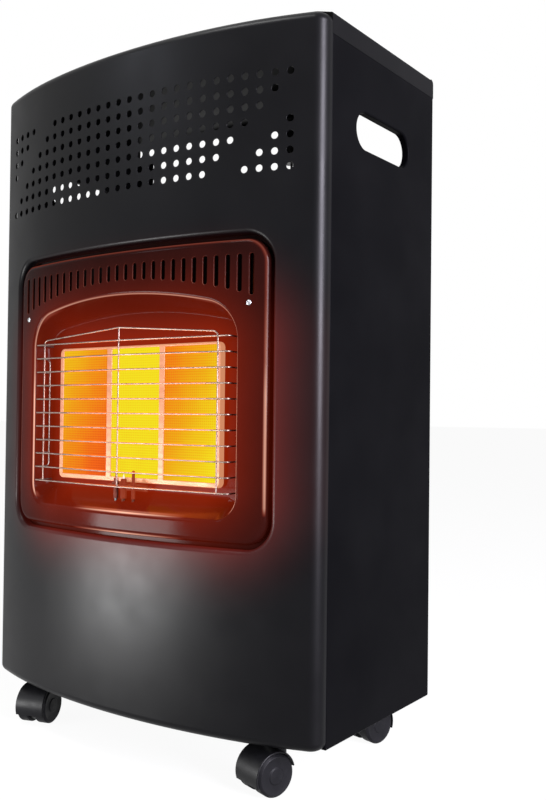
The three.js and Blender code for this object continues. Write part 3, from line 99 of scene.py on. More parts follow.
pan = {
    "groove": 5,
    "set": 1,
    "roll": 6,
    "flange": 11,
    "halfWidth": 143.5,
    "crown": 475.9,
    "crownRadius": 552,
    "low": 257.5,
    "shoulder": 38,
    "foot": 22,
    "depth": 36,
    "lip": 5,
    "fillet": 5,
    "topSlope": 12,
    "sideSlope": 5,
    "lowSlope": 16,
    "slotPitch": 12.24,
    "slotCount": 27,
    "slotWidth": 4.6,
    "slotTop": 507.5,
    "slotAbove": 15,
    # Where the painted highlights lie on the pan's rolled edges, and where the lower one is brightest.
    "highlightTurn": 0.66,
    "highlightSpread": 0.24,
    "smileHighlightX": 12,
    "smileHighlightHalf": 78,
    "screwX": 156.7,
    "screwZ": 460.9,
    "screwRadius": 2.6,
    # The burner's red light, painted on the pan as glow.
    "glow": {"middle": (0, 356), "half": (110, 68), "corner": 20, "reach": 118, "power": 2.5, "strength": 0.31},
}
burner = {
    "half": 115.3,
    "low": 284.3,
    "high": 427.2,
    "face": 29,
    "corner": 6,
    "lip": 1,
    "count": 3,
    "bar": 7,
    "side": 5.3,
    "foot": 4.9,
    "head": 2.5,
    "plaqueThickness": 13,
    "plaqueLap": 1.2,
    "plaqueEnd": 1.8,
    "holePitch": 2.6,
    "middle": 356.0,
}
guard = {
    "wire": 0.8,
    "rows": 11,
    "top": 430.7,
    "pitch": 14.94,
    "half": 137.5,
    "legs": 123.8,
    "crown": 3.6,
    "corner": 13,
    "rear": 31.3,
    "rearHalf": 135.2,
    "peak": 443.9,
    "shoulder": 435.4,
    "behind": 1.65,
    "bend": 4,
}
castor = {
    "x": 166,
    "front": -74,
    "rear": 80,
    "trail": 14,
    "radius": 20,
    "width": 14,
    "centre": 11.7,
    "hood": 22.6,
    "gauge": 1.8,
    "hoodFrom": -20,
    "hoodTo": 165,
    "bossRadius": 9,
    "bossLow": 33.0,
    "bossHigh": 46.9,
    "stemRadius": 5,
    "stemTop": 69,
    "turns": {"front_left": -72, "front_right": -107.5, "rear_left": 96, "rear_right": 76},
}
rearCover = {
    "half": 216,
    "low": 66,
    "high": 585,
    "stand": 4,
    "corner": 6,
    "louvreLength": 120,
    "louvreHeight": 7,
    "louvrePitch": 24,
    "louvreRows": 6,
    "louvreLevel": 150,
    "louvreColumn": 85,
    "gripLength": 90,
    "gripHeight": 24,
    "gripFromTop": 34,
    "tongueInset": 40,
    "tongueX": 210.55,
}
pilot = {"x": -6, "depth": 21, "low": 282, "flameHeight": 12, "flameRadius": 1.7}
camera = {
    "place": (668.3, -783.9, 355.9),
    "yaw": 35.792,
    "pitch": 0.968,
    "roll": 0.647,
    "focal": 904.0,
    "longSide": 800,
    "sensor": 36,
}
# Strengths of the background, of its light, and of the floor as lit and as seen; the reach is in metres.
studio = {"background": 1.0, "light": 0.35, "floorLit": 0.6, "floorShade": 0.04, "floorGlow": 0.94, "reach": 30}
# Lamps, in metres and watts.
lamps = {
    "key": {"place": (-1.6, -2.1, 1.9), "target": (0, 0, 0.4), "size": (0.5, 0.5), "power": 12, "colour": "#eef2ff"},
    "edge": {
        "place": (2.3, -0.5, 1.0),
        "target": (0.21, -0.12, 0.5),
        "size": (0.85, 1.3),
        "power": 300,
        "colour": "#f4f0ff",
    },
    "low": {"place": (-0.42, -0.66, 0.1), "target": (0.03, -0.13, 0.2), "size": (0.34, 0.2), "power": 11},
    "above": {"place": (-0.3, -0.9, 2.3), "target": (0, -0.1, 0.45), "size": (0.7, 0.25), "power": 26},
    "burnerGlow": {
        "place": (0, -0.109, 0.356),
        "target": (0, -1, 0.356),
        "size": (0.2, 0.12),
        "power": 1.0,
        "colour": "#ff7a20",
    },
}

# The shape of the bowed front.

panelTop = cabinet["top"] - cabinet["sheet"] - cabinet["gap"]
bowAngle = cabinet["bowArc"] / cabinet["bowRadius"]
shoulderReach = (
    cabinet["half"]
    - cabinet["cornerRadius"]
    - (cabinet["bowRadius"] - cabinet["shoulderRadius"]) * math.sin(bowAngle)
)
shoulderAngle = math.asin(shoulderReach / (cabinet["shoulderRadius"] - cabinet["cornerRadius"]))
shoulderEnd = cabinet["bowArc"] + cabinet["shoulderRadius"] * (shoulderAngle - bowAngle)
cornerEnd = shoulderEnd + cabinet["cornerRadius"] * (math.pi / 2 - shoulderAngle)
frontEnd = cornerEnd + cabinet["frontReturn"]


# The x, the depth behind the crown and the heading at a distance u along the bow.
def bowAt(u):
    run = abs(u)
    heading = min(run, cabinet["bowArc"]) / cabinet["bowRadius"]
    x = cabinet["bowRadius"] * math.sin(heading)
    y = cabinet["bowRadius"] * (1 - math.cos(heading))
    if run > cabinet["bowArc"]:
        radius = cabinet["shoulderRadius"]
        heading = bowAngle + (min(run, shoulderEnd) - cabinet["bowArc"]) / radius
        x += radius * (math.sin(heading) - math.sin(bowAngle))
        y += radius * (math.cos(bowAngle) - math.cos(heading))
    if run > shoulderEnd:
        radius = cabinet["cornerRadius"]
        heading = shoulderAngle + (min(run, cornerEnd) - shoulderEnd) / radius
        x += radius * (math.sin(heading) - math.sin(shoulderAngle))
        y += radius * (math.cos(shoulderAngle) - math.cos(heading))
    y += max(run - cornerEnd, 0)
    side = -1 if u < 0 else 1
    return side * x, y, side * heading


def bowFrame(u):
    x, y, heading = bowAt(u)
    tangent = Vector((math.cos(heading), math.sin(heading), 0))
    normal = Vector((math.sin(heading), -math.cos(heading), 0))
    return Vector((x, cabinet["front"] + y, 0)), tangent, normal


# A point on the bow or behind it, with the directions along the bow and out of it.
def onBow(u, deep, z):
    place, tangent, normal = bowFrame(u)
    return place - normal * deep + up * z, tangent, normal


# The distance along the bow at which it reaches x.
def alongBow(x):
    low, high = 0.0, cornerEnd
    for _ in range(40):
        middle = (low + high) / 2
        if bowAt(middle)[0] < abs(x):
            low = middle
        else:
            high = middle
    return math.copysign(low, x)


# The same, by x, for the pan: the depth runs straight back.
def onPan(x, deep, z):
    place, tangent, normal = bowFrame(alongBow(x))
    return Vector((x, place.y + pan["set"] + deep, z)), tangent, normal


# Shells: points with their own normals, so that curved sheet shades true.


def newShell():
    return {"points": [], "normals": [], "faces": []}


def addPoint(shell, point, normal):
    shell["points"].append(point)
    shell["normals"].append(normal.normalized())
    return len(shell["points"]) - 1


# Rows of (point, normal) pairs, joined row to row; closed joins the last row to the first.
def addGrid(shell, rows, closed=False):
    index = [[addPoint(shell, *pair) for pair in row] for row in rows]
    count = len(index) if closed else len(index) - 1
    for i in range(count):
        here, there = index[i], index[(i + 1) % len(index)]
        for j in range(len(here) - 1):
            shell["faces"].append((here[j], there[j], there[j + 1], here[j + 1]))


# Fills outlines with triangles. place turns a flat point into a (point, normal) pair.
def addFlat(shell, outlines, lines, keep, place):
    points, edges = [], []
    for outline in outlines:
        start = len(points)
        points += [Vector(p) for p in outline]
        edges += [(start + i, start + (i + 1) % len(outline)) for i in range(len(outline))]
    for line in lines:
        start = len(points)
        points += [Vector(p) for p in line]
        edges += [(start + i, start + i + 1) for i in range(len(line) - 1)]
    verts, _, faces, *_ = geometry.delaunay_2d_cdt(points, edges, [], 0, 1e-4)
    index = {}
    for face in faces:
        middle = sum((verts[i] for i in face), Vector((0, 0))) / len(face)
        if not keep(middle.x, middle.y):
            continue
        for i in face:
            if i not in index:
                index[i] = addPoint(shell, *place(verts[i].x, verts[i].y))
        shell["faces"].append(tuple(index[i] for i in face))


# A mesh piece in metres that shades by the shell's normals and faces the way they point.
def makePiece(name, shell, material, body, replaces=()):
    points, normals = shell["points"], shell["normals"]
    faces = []
    for face in shell["faces"]:
        a, b, c = points[face[0]], points[face[1]], points[face[2]]
        facing = (b - a).cross(c - b)
        if len(face) == 4:
            facing += (c - b).cross(points[face[3]] - c)
        toward = sum((normals[i] for i in face), Vector())
        faces.append(face if facing.dot(toward) >= 0 else tuple(reversed(face)))
    mesh = bpy.data.meshes.new(name)
    mesh.from_pydata([p * milli for p in points], [], faces)
    mesh.validate(clean_customdata=False)
    mesh.shade_smooth()
    if len(mesh.vertices) == len(normals):
        mesh.normals_split_custom_set_from_vertices(normals)
    piece = bpy.data.objects.new(name, mesh)
    bpy.context.scene.collection.objects.link(piece)
    return settle(piece, material, body, replaces)


def settle(piece, material, body, replaces=()):
    piece.data.materials.clear()
    piece.data.materials.append(material)
    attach(piece, body)
    if replaces:
        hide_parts(*replaces)
    return piece


# Outlines with the direction that leads out of them.


def arcStops(cx, cz, radius, start, end, steps):
    stops = []
    for i in range(steps + 1):
        angle = start + (end - start) * i / steps
        out = (math.cos(angle), math.sin(angle))
        stops.append((cx + radius * out[0], cz + radius * out[1], *out))
    return stops


# Stops between two others, on a straight side, at given distances across.
def splitStops(first, second, splits):
    low, high = min(first[0], second[0]), max(first[0], second[0])
    inside = sorted((u for u in splits if low + 0.01 < u < high - 0.01), reverse=second[0] < first[0])
    stops = []
    for u in inside:
        share = (u - first[0]) / (second[0] - first[0])
        z = first[1] + (second[1] - first[1]) * share
        stops.append((u, z, first[2], first[3]))
    return stops


def roundedStops(cx, cz, halfWidth, halfHeight, radius, steps=12, splits=()):
    right, left = cx + halfWidth - radius, cx - halfWidth + radius
    high, low = cz + halfHeight - radius, cz - halfHeight + radius
    quarter = math.pi / 2
    corners = [(right, high, 0), (left, high, 1), (left, low, 2), (right, low, 3)]
    stops = []
    for x, z, k in corners:
        arc = arcStops(x, z, radius, k * quarter, (k + 1) * quarter, steps)
        if stops:
            stops += splitStops(stops[-1], arc[0], splits)
        stops += arc
    stops += splitStops(stops[-1], stops[0], splits)
    clean = [stops[0]]
    for stop in stops[1:]:
        if math.hypot(stop[0] - clean[-1][0], stop[1] - clean[-1][1]) > 0.01:
            clean.append(stop)
    return clean


def shifted(stops, out):
    return [(u + out * ou, z + out * oz) for u, z, ou, oz in stops]


def inRounded(u, z, cx, cz, halfWidth, halfHeight, radius):
    du = max(abs(u - cx) - halfWidth + radius, 0)
    dz = max(abs(z - cz) - halfHeight + radius, 0)
    return math.hypot(du, dz) < radius


# Sine and cosine at even steps over a quarter turn.
def quarterTurn(steps):
    angles = [math.pi / 2 * i / steps for i in range(steps + 1)]
    return [(math.sin(angle), math.cos(angle)) for angle in angles]


# A quarter roll into an opening, as (out, deep, normal out, normal to the front).
def rollRow(radius, thickness=0, steps=8, flip=1):
    reach = radius - thickness
    return [(radius - reach * s, radius - reach * c, -s * flip, c * flip) for s, c in quarterTurn(steps)]


# The same roll away from an opening, measured from a foot.
def foldRow(radius, thickness=0, steps=8, flip=1, foot=0):
    return [(foot - out, deep, -no, nf) for out, deep, no, nf in rollRow(radius, thickness, steps, flip)]


def addRim(shell, stops, profile, place, closed=True):
    rows = []
    for u, z, ou, oz in stops:
        row = []
        for out, deep, normalOut, normalFront in profile:
            point, tangent, normal = place(u + out * ou, deep, z + out * oz)
            outward = tangent * ou + up * oz
            row.append((point, outward * normalOut + normal * normalFront))
        rows.append(row)
    addGrid(shell, rows, closed)


# Both faces of a sheet, without the parts that keep turns down.
def addSheet(shell, outlines, lines, keep, place):
    for deep, way in ((0, 1), (cabinet["sheet"], -1)):

        def lay(u, v, deep=deep, way=way):
            point, _, normal = place(u, deep, v)
            return point, normal * way

        addFlat(shell, outlines, lines, keep, lay)


# Materials. Colours are sRGB, and the sizes of patterns are in millimetres.


def linear(colour):
    values = [int(colour[i : i + 2], 16) / 255 for i in (1, 3, 5)]
    return tuple(v / 12.92 if v <= 0.04045 else ((v + 0.055) / 1.055) ** 2.4 for v in values) + (1,)


def shaded(colour, share, lift=0):
    values = [int(colour[i : i + 2], 16) for i in (1, 3, 5)]
    return "#" + "".join("%02x" % min(255, int(v * share) + lift) for v in values)


# Adds a node and returns one of its outputs. Inputs come in order, or by name in a dictionary: a
# socket is linked and a value is set. stops are the colours of a ramp.
def addNode(tree, kind, *inputs, out=0, stops=(), **settings):
    node = tree.nodes.new("ShaderNode" + kind)
    for name, value in settings.items():
        setattr(node, name, value)
    named = inputs[0] if inputs and isinstance(inputs[0], dict) else dict(enumerate(inputs))
    for key, value in named.items():
        if isinstance(value, bpy.types.NodeSocket):
            tree.links.new(value, node.inputs[key])
        else:
            node.inputs[key].default_value = value
    if stops:
        elements = node.color_ramp.elements
        while len(elements) < len(stops):
            elements.new(0.5)
        for element, (position, colour) in zip(elements, stops):
            element.position = position
            element.color = linear(colour)
    return node.outputs[out] if node.outputs else node


# Starts a material, with the object's own place in millimetres.
def startMaterial(name):
    material = bpy.data.materials.new(name)
    material.use_nodes = True
    tree = material.node_tree
    tree.nodes.clear()
    place = addNode(tree, "TexCoord", out="Object")
    return material, tree, addNode(tree, "VectorMath", place, (1000, 1000, 1000), operation="MULTIPLY")


def endMaterial(tree, values):
    addNode(tree, "OutputMaterial", addNode(tree, "BsdfPrincipled", values))


# How near a point is to a rounded rectangle, from 0 to 1, and the painted glow that this gives it.
def paintedGlow(tree, place, glow):
    x, _, z = addNode(tree, "SeparateXYZ", place).node.outputs
    squares = []
    for axis, middle, half in zip((x, z), glow["middle"], glow["half"]):
        away = addNode(tree, "Math", axis, middle, operation="SUBTRACT")
        away = addNode(tree, "Math", away, operation="ABSOLUTE")
        away = addNode(tree, "Math", away, half - glow["corner"], operation="SUBTRACT")
        away = addNode(tree, "Math", away, 0.0, operation="MAXIMUM")
        squares.append(addNode(tree, "Math", away, away, operation="MULTIPLY"))
    away = addNode(tree, "Math", *squares, operation="ADD")
    away = addNode(tree, "Math", away, operation="SQRT")
    away = addNode(tree, "Math", away, glow["corner"], operation="SUBTRACT")
    near = addNode(tree, "MapRange", away, 0, glow["reach"], 1, 0)
    near = addNode(tree, "Math", near, 0.0, operation="MAXIMUM")
    glowLevel = addNode(tree, "Math", near, glow["power"], operation="POWER")
    return near, addNode(tree, "Math", glowLevel, glow["strength"], operation="MULTIPLY")


# Baked black paint on sheet steel, with a faint orange peel. The front is a satin coat that gives soft bands of
# light, with the burner's red light painted round its window as glow; the sides are a duller powder coat.
def paintMaterial(name, specular, roughness, tones, glow=None):
    material, tree, place = startMaterial(name)
    cloud = addNode(tree, "TexNoise", {"Vector": place, "Scale": 1 / 90, "Detail": 2})
    smear = addNode(tree, "TexNoise", {"Vector": place, "Scale": 1 / 34, "Detail": 4})
    fine = addNode(tree, "TexNoise", {"Vector": place, "Scale": 1 / 1.2, "Detail": 2})
    peel = addNode(tree, "TexNoise", {"Vector": place, "Scale": 1 / 1.6, "Detail": 2})
    worn = addNode(tree, "MapRange", smear, 0.3, 0.7, roughness - 0.03, roughness + 0.03)
    grain = addNode(tree, "MapRange", fine, 0, 1, -0.01, 0.01)
    values = {
        "Base Color": addNode(tree, "ValToRGB", cloud, stops=[(0.3, tones[0]), (0.7, tones[1])]),
        "Specular IOR Level": specular,
        "Roughness": addNode(tree, "Math", worn, grain, operation="ADD"),
        "Normal": addNode(tree, "Bump", {"Height": peel, "Distance": 0.004 * milli, "Strength": 1.0}),
    }
    # The burner's red light, painted on as glow.
    if glow:
        values["Emission Color"] = linear("#ff4f3c")
        values["Emission Strength"] = paintedGlow(tree, place, glow)[1]
    endMaterial(tree, values)
    return material


# Glossy dark vitreous enamel on pressed steel, with the red light of the burner it faces painted on as glow. The
# pale lines on its rolled edges are painted highlights, drawn as glow by how far the surface turns and how deep it
# lies.
def enamelMaterial():
    material, tree, place = startMaterial("vitreousEnamel")
    cloud = addNode(tree, "TexNoise", {"Vector": place, "Scale": 1 / 40, "Detail": 3})
    smear = addNode(tree, "TexNoise", {"Vector": place, "Scale": 1 / 12, "Detail": 4})
    ripple = addNode(tree, "TexNoise", {"Vector": place, "Scale": 1 / 5, "Detail": 2})
    # The burner's red light, painted on the enamel as glow.
    near, glowLevel = paintedGlow(tree, place, pan["glow"])
    x, y, z = addNode(tree, "SeparateXYZ", place).node.outputs
    # Painted highlights on the rolled edges, placed by how far the surface turns.
    facing = addNode(tree, "SeparateXYZ", addNode(tree, "NewGeometry", out="Normal"), out=1)
    turned = addNode(tree, "Math", facing, pan["highlightTurn"], operation="ADD")
    turned = addNode(tree, "Math", turned, operation="ABSOLUTE")
    edge = addNode(tree, "MapRange", turned, 0, pan["highlightSpread"], 1, 0)
    edge = addNode(tree, "Math", edge, 0.0, operation="MAXIMUM")
    bow = addNode(tree, "Math", x, x, operation="MULTIPLY")
    bow = addNode(tree, "Math", bow, 0.5 / cabinet["bowRadius"], operation="MULTIPLY")
    deep = addNode(tree, "Math", y, cabinet["front"] + pan["set"], operation="SUBTRACT")
    deep = addNode(tree, "Math", deep, bow, operation="SUBTRACT")
    atLip = addNode(tree, "MapRange", deep, pan["lip"] - 0.5, pan["lip"] + 1.5, 1, 0)
    atBurner = addNode(tree, "MapRange", near, 0.3, 0.85, 0.25, 1)
    # The painted highlight: along the foot of the recess only the middle is lit; up the sides the lower half is lit
    # more.
    across = addNode(tree, "Math", x, pan["smileHighlightX"], operation="SUBTRACT")
    across = addNode(tree, "Math", across, operation="ABSOLUTE")
    smileHighlight = addNode(tree, "MapRange", across, 0, pan["smileHighlightHalf"], 2.4, 0)
    smileHighlight = addNode(tree, "Math", smileHighlight, 0.0, operation="MAXIMUM")
    smileHighlight = addNode(tree, "Math", smileHighlight, 1.0, operation="SUBTRACT")
    atFoot = addNode(tree, "MapRange", z, pan["low"] + 4, pan["low"] + 12, 1, 0)
    smileHighlight = addNode(tree, "Math", atFoot, smileHighlight, operation="MULTIPLY")
    smileHighlight = addNode(tree, "Math", 1.0, smileHighlight, operation="ADD")
    width = addNode(tree, "Math", x, operation="ABSOLUTE")
    atSide = addNode(tree, "MapRange", width, pan["halfWidth"] - 10, pan["halfWidth"] - 4, 0, 1)
    lowHalf = addNode(tree, "MapRange", z, 405, 375, 0, 1.1)
    atSide = addNode(tree, "Math", atSide, lowHalf, operation="MULTIPLY")
    atSide = addNode(tree, "Math", atSide, 1.0, operation="ADD")
    for share in (atLip, atBurner, smileHighlight, atSide):
        edge = addNode(tree, "Math", edge, share, operation="MULTIPLY")
    paintedHighlight = addNode(tree, "Math", edge, 0.7, operation="MULTIPLY")
    endMaterial(
        tree,
        {
            "Base Color": addNode(tree, "ValToRGB", cloud, stops=[(0.3, "#100403"), (0.7, "#160504")]),
            "Specular IOR Level": 0.022,
            "Roughness": addNode(tree, "MapRange", smear, 0.3, 0.7, 0.13, 0.18),
            "Normal": addNode(tree, "Bump", {"Height": ripple, "Distance": 0.02 * milli, "Strength": 1.0}),
            # Red painted glow, paling into the painted highlights.
            "Emission Color": addNode(tree, "ValToRGB", edge, stops=[(0.0, "#ff4008"), (0.5, "#ffb99f")]),
            "Emission Strength": addNode(tree, "Math", glowLevel, paintedHighlight, operation="ADD"),
        },
    )
    return material


# Bare metal with fine grain and a little staining. Metal by the burner can be given a little painted glow, as
# emission.
def metalMaterial(name, colour, roughness, grain=6.0, stretch=(1, 1, 1), deep=0.004, glow=None):
    material, tree, place = startMaterial(name)
    stain = addNode(tree, "TexNoise", {"Vector": place, "Scale": 1 / 22, "Detail": 4})
    drawn = addNode(tree, "VectorMath", place, stretch, operation="MULTIPLY")
    fine = addNode(tree, "TexNoise", {"Vector": drawn, "Scale": 1 / grain, "Detail": 4})
    values = {
        "Base Color": addNode(tree, "ValToRGB", stain, stops=[(0.3, shaded(colour, 0.86)), (0.7, colour)]),
        "Metallic": 1.0,
        "Roughness": addNode(tree, "MapRange", fine, 0.25, 0.75, roughness * 0.75, roughness * 1.3),
        "Normal": addNode(tree, "Bump", {"Height": fine, "Distance": deep * milli, "Strength": 1.0}),
    }
    # A painted glow, as emission.
    if glow:
        values["Emission Color"] = linear(glow)
        values["Emission Strength"] = 1.0
    endMaterial(tree, values)
    return material


# Moulded plastic with a fine spark-eroded grain.
def plasticMaterial(name, colour, roughness, grain=0.8, deep=0.012, specular=0.4):
    material, tree, place = startMaterial(name)
    cloud = addNode(tree, "TexNoise", {"Vector": place, "Scale": 1 / 14, "Detail": 4})
    smear = addNode(tree, "TexNoise", {"Vector": place, "Scale": 1 / 6, "Detail": 3})
    eroded = addNode(tree, "TexNoise", {"Vector": place, "Scale": 1 / grain, "Detail": 2})
    lighter = shaded(colour, 1.25, 2)
    endMaterial(
        tree,
        {
            "Base Color": addNode(tree, "ValToRGB", cloud, stops=[(0.3, colour), (0.75, lighter)]),
            "Specular IOR Level": specular,
            "Roughness": addNode(tree, "MapRange", smear, 0.3, 0.7, roughness * 0.85, roughness * 1.15),
            "Normal": addNode(tree, "Bump", {"Height": eroded, "Distance": deep * milli, "Strength": 1.0}),
        },
    )
    return material


# Glowing porous ceramic: a close grid of burner holes, hotter and cooler by place.
def plaqueMaterial(name, stops, tilt):
    material, tree, place = startMaterial(name)
    x, _, z = addNode(tree, "SeparateXYZ", place).node.outputs
    waves = []
    for axis in (z, x):
        wave = addNode(tree, "Math", axis, 2 * math.pi / burner["holePitch"], operation="MULTIPLY")
        wave = addNode(tree, "Math", wave, operation="SINE")
        waves.append(addNode(tree, "Math", wave, 1.0, operation="ADD"))
    dots = addNode(tree, "Math", *waves, operation="MULTIPLY")
    dots = addNode(tree, "MapRange", dots, 1.2, 3.6, 0, 1)
    across = addNode(tree, "Math", x, tilt[0] * milli, operation="MULTIPLY")
    rise = addNode(tree, "Math", z, burner["middle"], operation="SUBTRACT")
    rise = addNode(tree, "Math", rise, tilt[1] * milli, operation="MULTIPLY")
    glowLevel = addNode(tree, "Math", across, rise, operation="ADD")
    glowLevel = addNode(tree, "Math", glowLevel, tilt[2], operation="ADD")
    cloud = addNode(tree, "TexNoise", {"Vector": place, "Scale": 1 / 26, "Detail": 3})
    uneven = addNode(tree, "MapRange", cloud, 0.3, 0.7, -0.03, 0.03)
    glowLevel = addNode(tree, "Math", glowLevel, uneven, operation="ADD")
    cooler = addNode(tree, "Math", dots, 0.26, operation="MULTIPLY")
    glowLevel = addNode(tree, "Math", glowLevel, cooler, operation="SUBTRACT")
    endMaterial(
        tree,
        {
            "Base Color": linear("#060302"),
            "Specular IOR Level": 0.03,
            "Roughness": 0.9,
            "Normal": addNode(tree, "Bump", {"Height": dots, "Distance": -0.5 * milli, "Strength": 0.6}),
            "Emission Color": addNode(tree, "ValToRGB", glowLevel, stops=stops),
            "Emission Strength": 1.0,
        },
    )
    return material


# A gas flame gives light and shows no surface.
def flameMaterial():
    material, tree, _ = startMaterial("gasFlame")
    glow = {"Emission Color": linear("#fff4e6"), "Emission Strength": 1.0}
    endMaterial(tree, {"Base Color": linear("#000000"), "Specular IOR Level": 0.0, **glow})
    return material


paint = paintMaterial("powderCoat", 0.015, 0.5, ("#020203", "#040405"))
coverPaint = paintMaterial("satinCover", 0.03, 0.4, ("#050506", "#070708"))
glowingPaint = paintMaterial("satinPaintWithPaintedGlow", 0.085, 0.37, ("#030304", "#050506"), frontPanel["glow"])
enamel = enamelMaterial()
galvanised = metalMaterial("galvanisedSteel", "#b9bcbe", 0.38, 9.0)
# The heat shield is near black, as painted shade behind the vent holes and the pan's slots.
paintedShadeSteel = plasticMaterial("paintedShadeShield", "#0d0b0a", 0.6, 3.0, 0.01, 0.04)
# Heat-tinted steel of the burner frame and boxes, with a painted glow.
tintedAndGlowing = metalMaterial("heatTintedSteelWithPaintedGlow", "#7a5244", 0.4, 3.0, (0.2, 1, 1), 0.004, "#cc8a64")
chrome = metalMaterial("platedWire", "#77665e", 0.38, 3.0)
# Sooty metal of the pilot's parts, with a dark red painted glow.
sootyAndGlowing = metalMaterial("sootyMetalWithPaintedGlow", "#2a120c", 0.6, 2.0, (1, 1, 1), 0.004, "#8a3018")
tarnished = metalMaterial("tarnishedCopper", "#3a1a12", 0.6, 3.0, (1, 1, 1), 0.004)
brass = metalMaterial("turnedBrass", "#c39a55", 0.28, 1.5)
copper = metalMaterial("drawnCopper", "#b8734f", 0.32, 4.0)
zinc = metalMaterial("zincPlatedSteel", "#a8aaac", 0.36, 4.0)
glaze = plasticMaterial("glazedCeramic", "#4a2016", 0.3, 3.0, 0.01, 0.1)
nylon = plasticMaterial("blackNylon", "#070708", 0.42, 0.8, 0.012, 0.1)
tread = plasticMaterial("nylonTread", "#08080a", 0.5, 0.9, 0.02, 0.08)
knobPlastic = plasticMaterial("knobPlastic", "#101012", 0.4)
redPlastic = plasticMaterial("redPlastic", "#8d1410", 0.3, 2.0, 0.004, 0.5)
silicone = plasticMaterial("siliconeSleeve", "#0d0d0f", 0.55, 1.2)
flame = flameMaterial()
blackScrew = metalMaterial("blackenedSteel", "#17171a", 0.4, 2.0)
hot = [
    (0.0, "#d4400a"),
    (0.28, "#f2640c"),
    (0.5, "#f0900a"),
    (0.72, "#efb40e"),
    (1.0, "#f4e01a"),
]
plaques = {
    "left": plaqueMaterial("glowingCeramicLeft", hot, (-4.5, 2.4, 0.16)),
    "centre": plaqueMaterial("glowingCeramicCentre", hot, (0.5, 0.6, 1.02)),
    "right": plaqueMaterial("glowingCeramicRight", hot, (5.6, -2.2, 0.3)),
}
print("materials made")

# Camera, lights, floor.


def makeCamera():
    yaw, pitch, roll = (math.radians(camera[k]) for k in ("yaw", "pitch", "roll"))
    ahead = Vector((-math.sin(yaw) * math.cos(pitch), math.cos(yaw) * math.cos(pitch), math.sin(pitch)))
    right = Vector((math.cos(yaw), math.sin(yaw), 0))
    above = right.cross(ahead)
    right2 = right * math.cos(roll) + above * math.sin(roll)
    above2 = above * math.cos(roll) - right * math.sin(roll)
    data = bpy.data.cameras.new("camera")
    data.sensor_width = camera["sensor"]
    data.lens = camera["focal"] / camera["longSide"] * camera["sensor"]
    data.clip_start = 0.01
    data.clip_end = 50
    eye = bpy.data.objects.new("camera", data)
    turn = Matrix((right2, above2, -ahead)).transposed()
    eye.matrix_world = Matrix.Translation(Vector(camera["place"]) * milli) @ turn.to_4x4()
    bpy.context.scene.collection.objects.link(eye)
    bpy.context.scene.camera = eye


def makeLamp(name, lamp):
    data = bpy.data.lights.new(name, "AREA")
    data.shape = "RECTANGLE"
    data.size, data.size_y = lamp["size"]
    data.energy = lamp["power"]
    data.color = linear(lamp.get("colour", "#ffffff"))[:3]
    light = bpy.data.objects.new(name, data)
    light.location = lamp["place"]
    ahead = Vector(lamp["target"]) - Vector(lamp["place"])
    light.rotation_euler = ahead.to_track_quat("-Z", "Y").to_euler()
    light.visible_camera = False
    bpy.context.scene.collection.objects.link(light)


# 1 for what the camera sees by itself, in a mirror or through glass.
def seenRays(tree):
    path = addNode(tree, "LightPath").node.outputs
    seen = addNode(tree, "Math", path["Is Camera Ray"], path["Is Transmission Ray"], operation="MAXIMUM")
    return addNode(tree, "Math", seen, path["Is Glossy Ray"], operation="MAXIMUM")


def makeWorld():
    world = bpy.data.worlds.new("studio")
    bpy.context.scene.world = world
    world.use_nodes = True
    tree = world.node_tree
    tree.nodes.clear()
    light, plain = (
        addNode(tree, "Background", {"Color": (1, 1, 1, 1), "Strength": studio[kind]})
        for kind in ("light", "background")
    )
    addNode(tree, "OutputWorld", addNode(tree, "MixShader", seenRays(tree), light, plain))


# A white floor that keeps a faint shadow: most of what the camera sees is its own glow.
def makeFloor():
    mesh = bpy.data.meshes.new("floor")
    reach = studio["reach"]
    corners = [(-reach, -reach, 0), (reach, -reach, 0), (reach, reach, 0), (-reach, reach, 0)]
    mesh.from_pydata(corners, [], [(0, 1, 2, 3)])
    floor = bpy.data.objects.new("floor", mesh)
    bpy.context.scene.collection.objects.link(floor)
    material, tree, _ = startMaterial("paleFloor")
    lit, shade = (
        addNode(tree, "BsdfDiffuse", {"Color": (grey, grey, grey, 1)})
        for grey in (studio["floorLit"], studio["floorShade"])
    )
    glow = addNode(tree, "Emission", {"Color": (1, 1, 1, 1), "Strength": studio["floorGlow"]})
    shown = addNode(tree, "AddShader", shade, glow)
    addNode(tree, "OutputMaterial", addNode(tree, "MixShader", seenRays(tree), lit, shown))
    floor.data.materials.append(material)


makeCamera()
makeWorld()
makeFloor()
print("stage made")

# Cabinet.


def bowLines():
    pitch = vents["pitch"]
    lines = [(k - 0.5) * pitch for k in range(-vents["columns"], vents["columns"] + 2)]
    steps = 10
    for k in range(steps + 1):
        u = shoulderEnd + (cornerEnd - shoulderEnd) * k / steps
        lines += [u, -u]
    lines += [frontEnd, -frontEnd]
    return sorted(lines)


# The middle of the vent hole nearest to a point, if there is one there.
def ventHole(u, z):
    column = round(u / vents["pitch"])
    row = round((vents["topRow"] - z) / vents["rowPitch"]) + 1
    if abs(column) > vents["columns"] or not 1 <= row <= vents["rows"]:
        return None
    if column + row in vents["skip"]:
        return None
    return column * vents["pitch"], vents["topRow"] - (row - 1) * vents["rowPitch"]


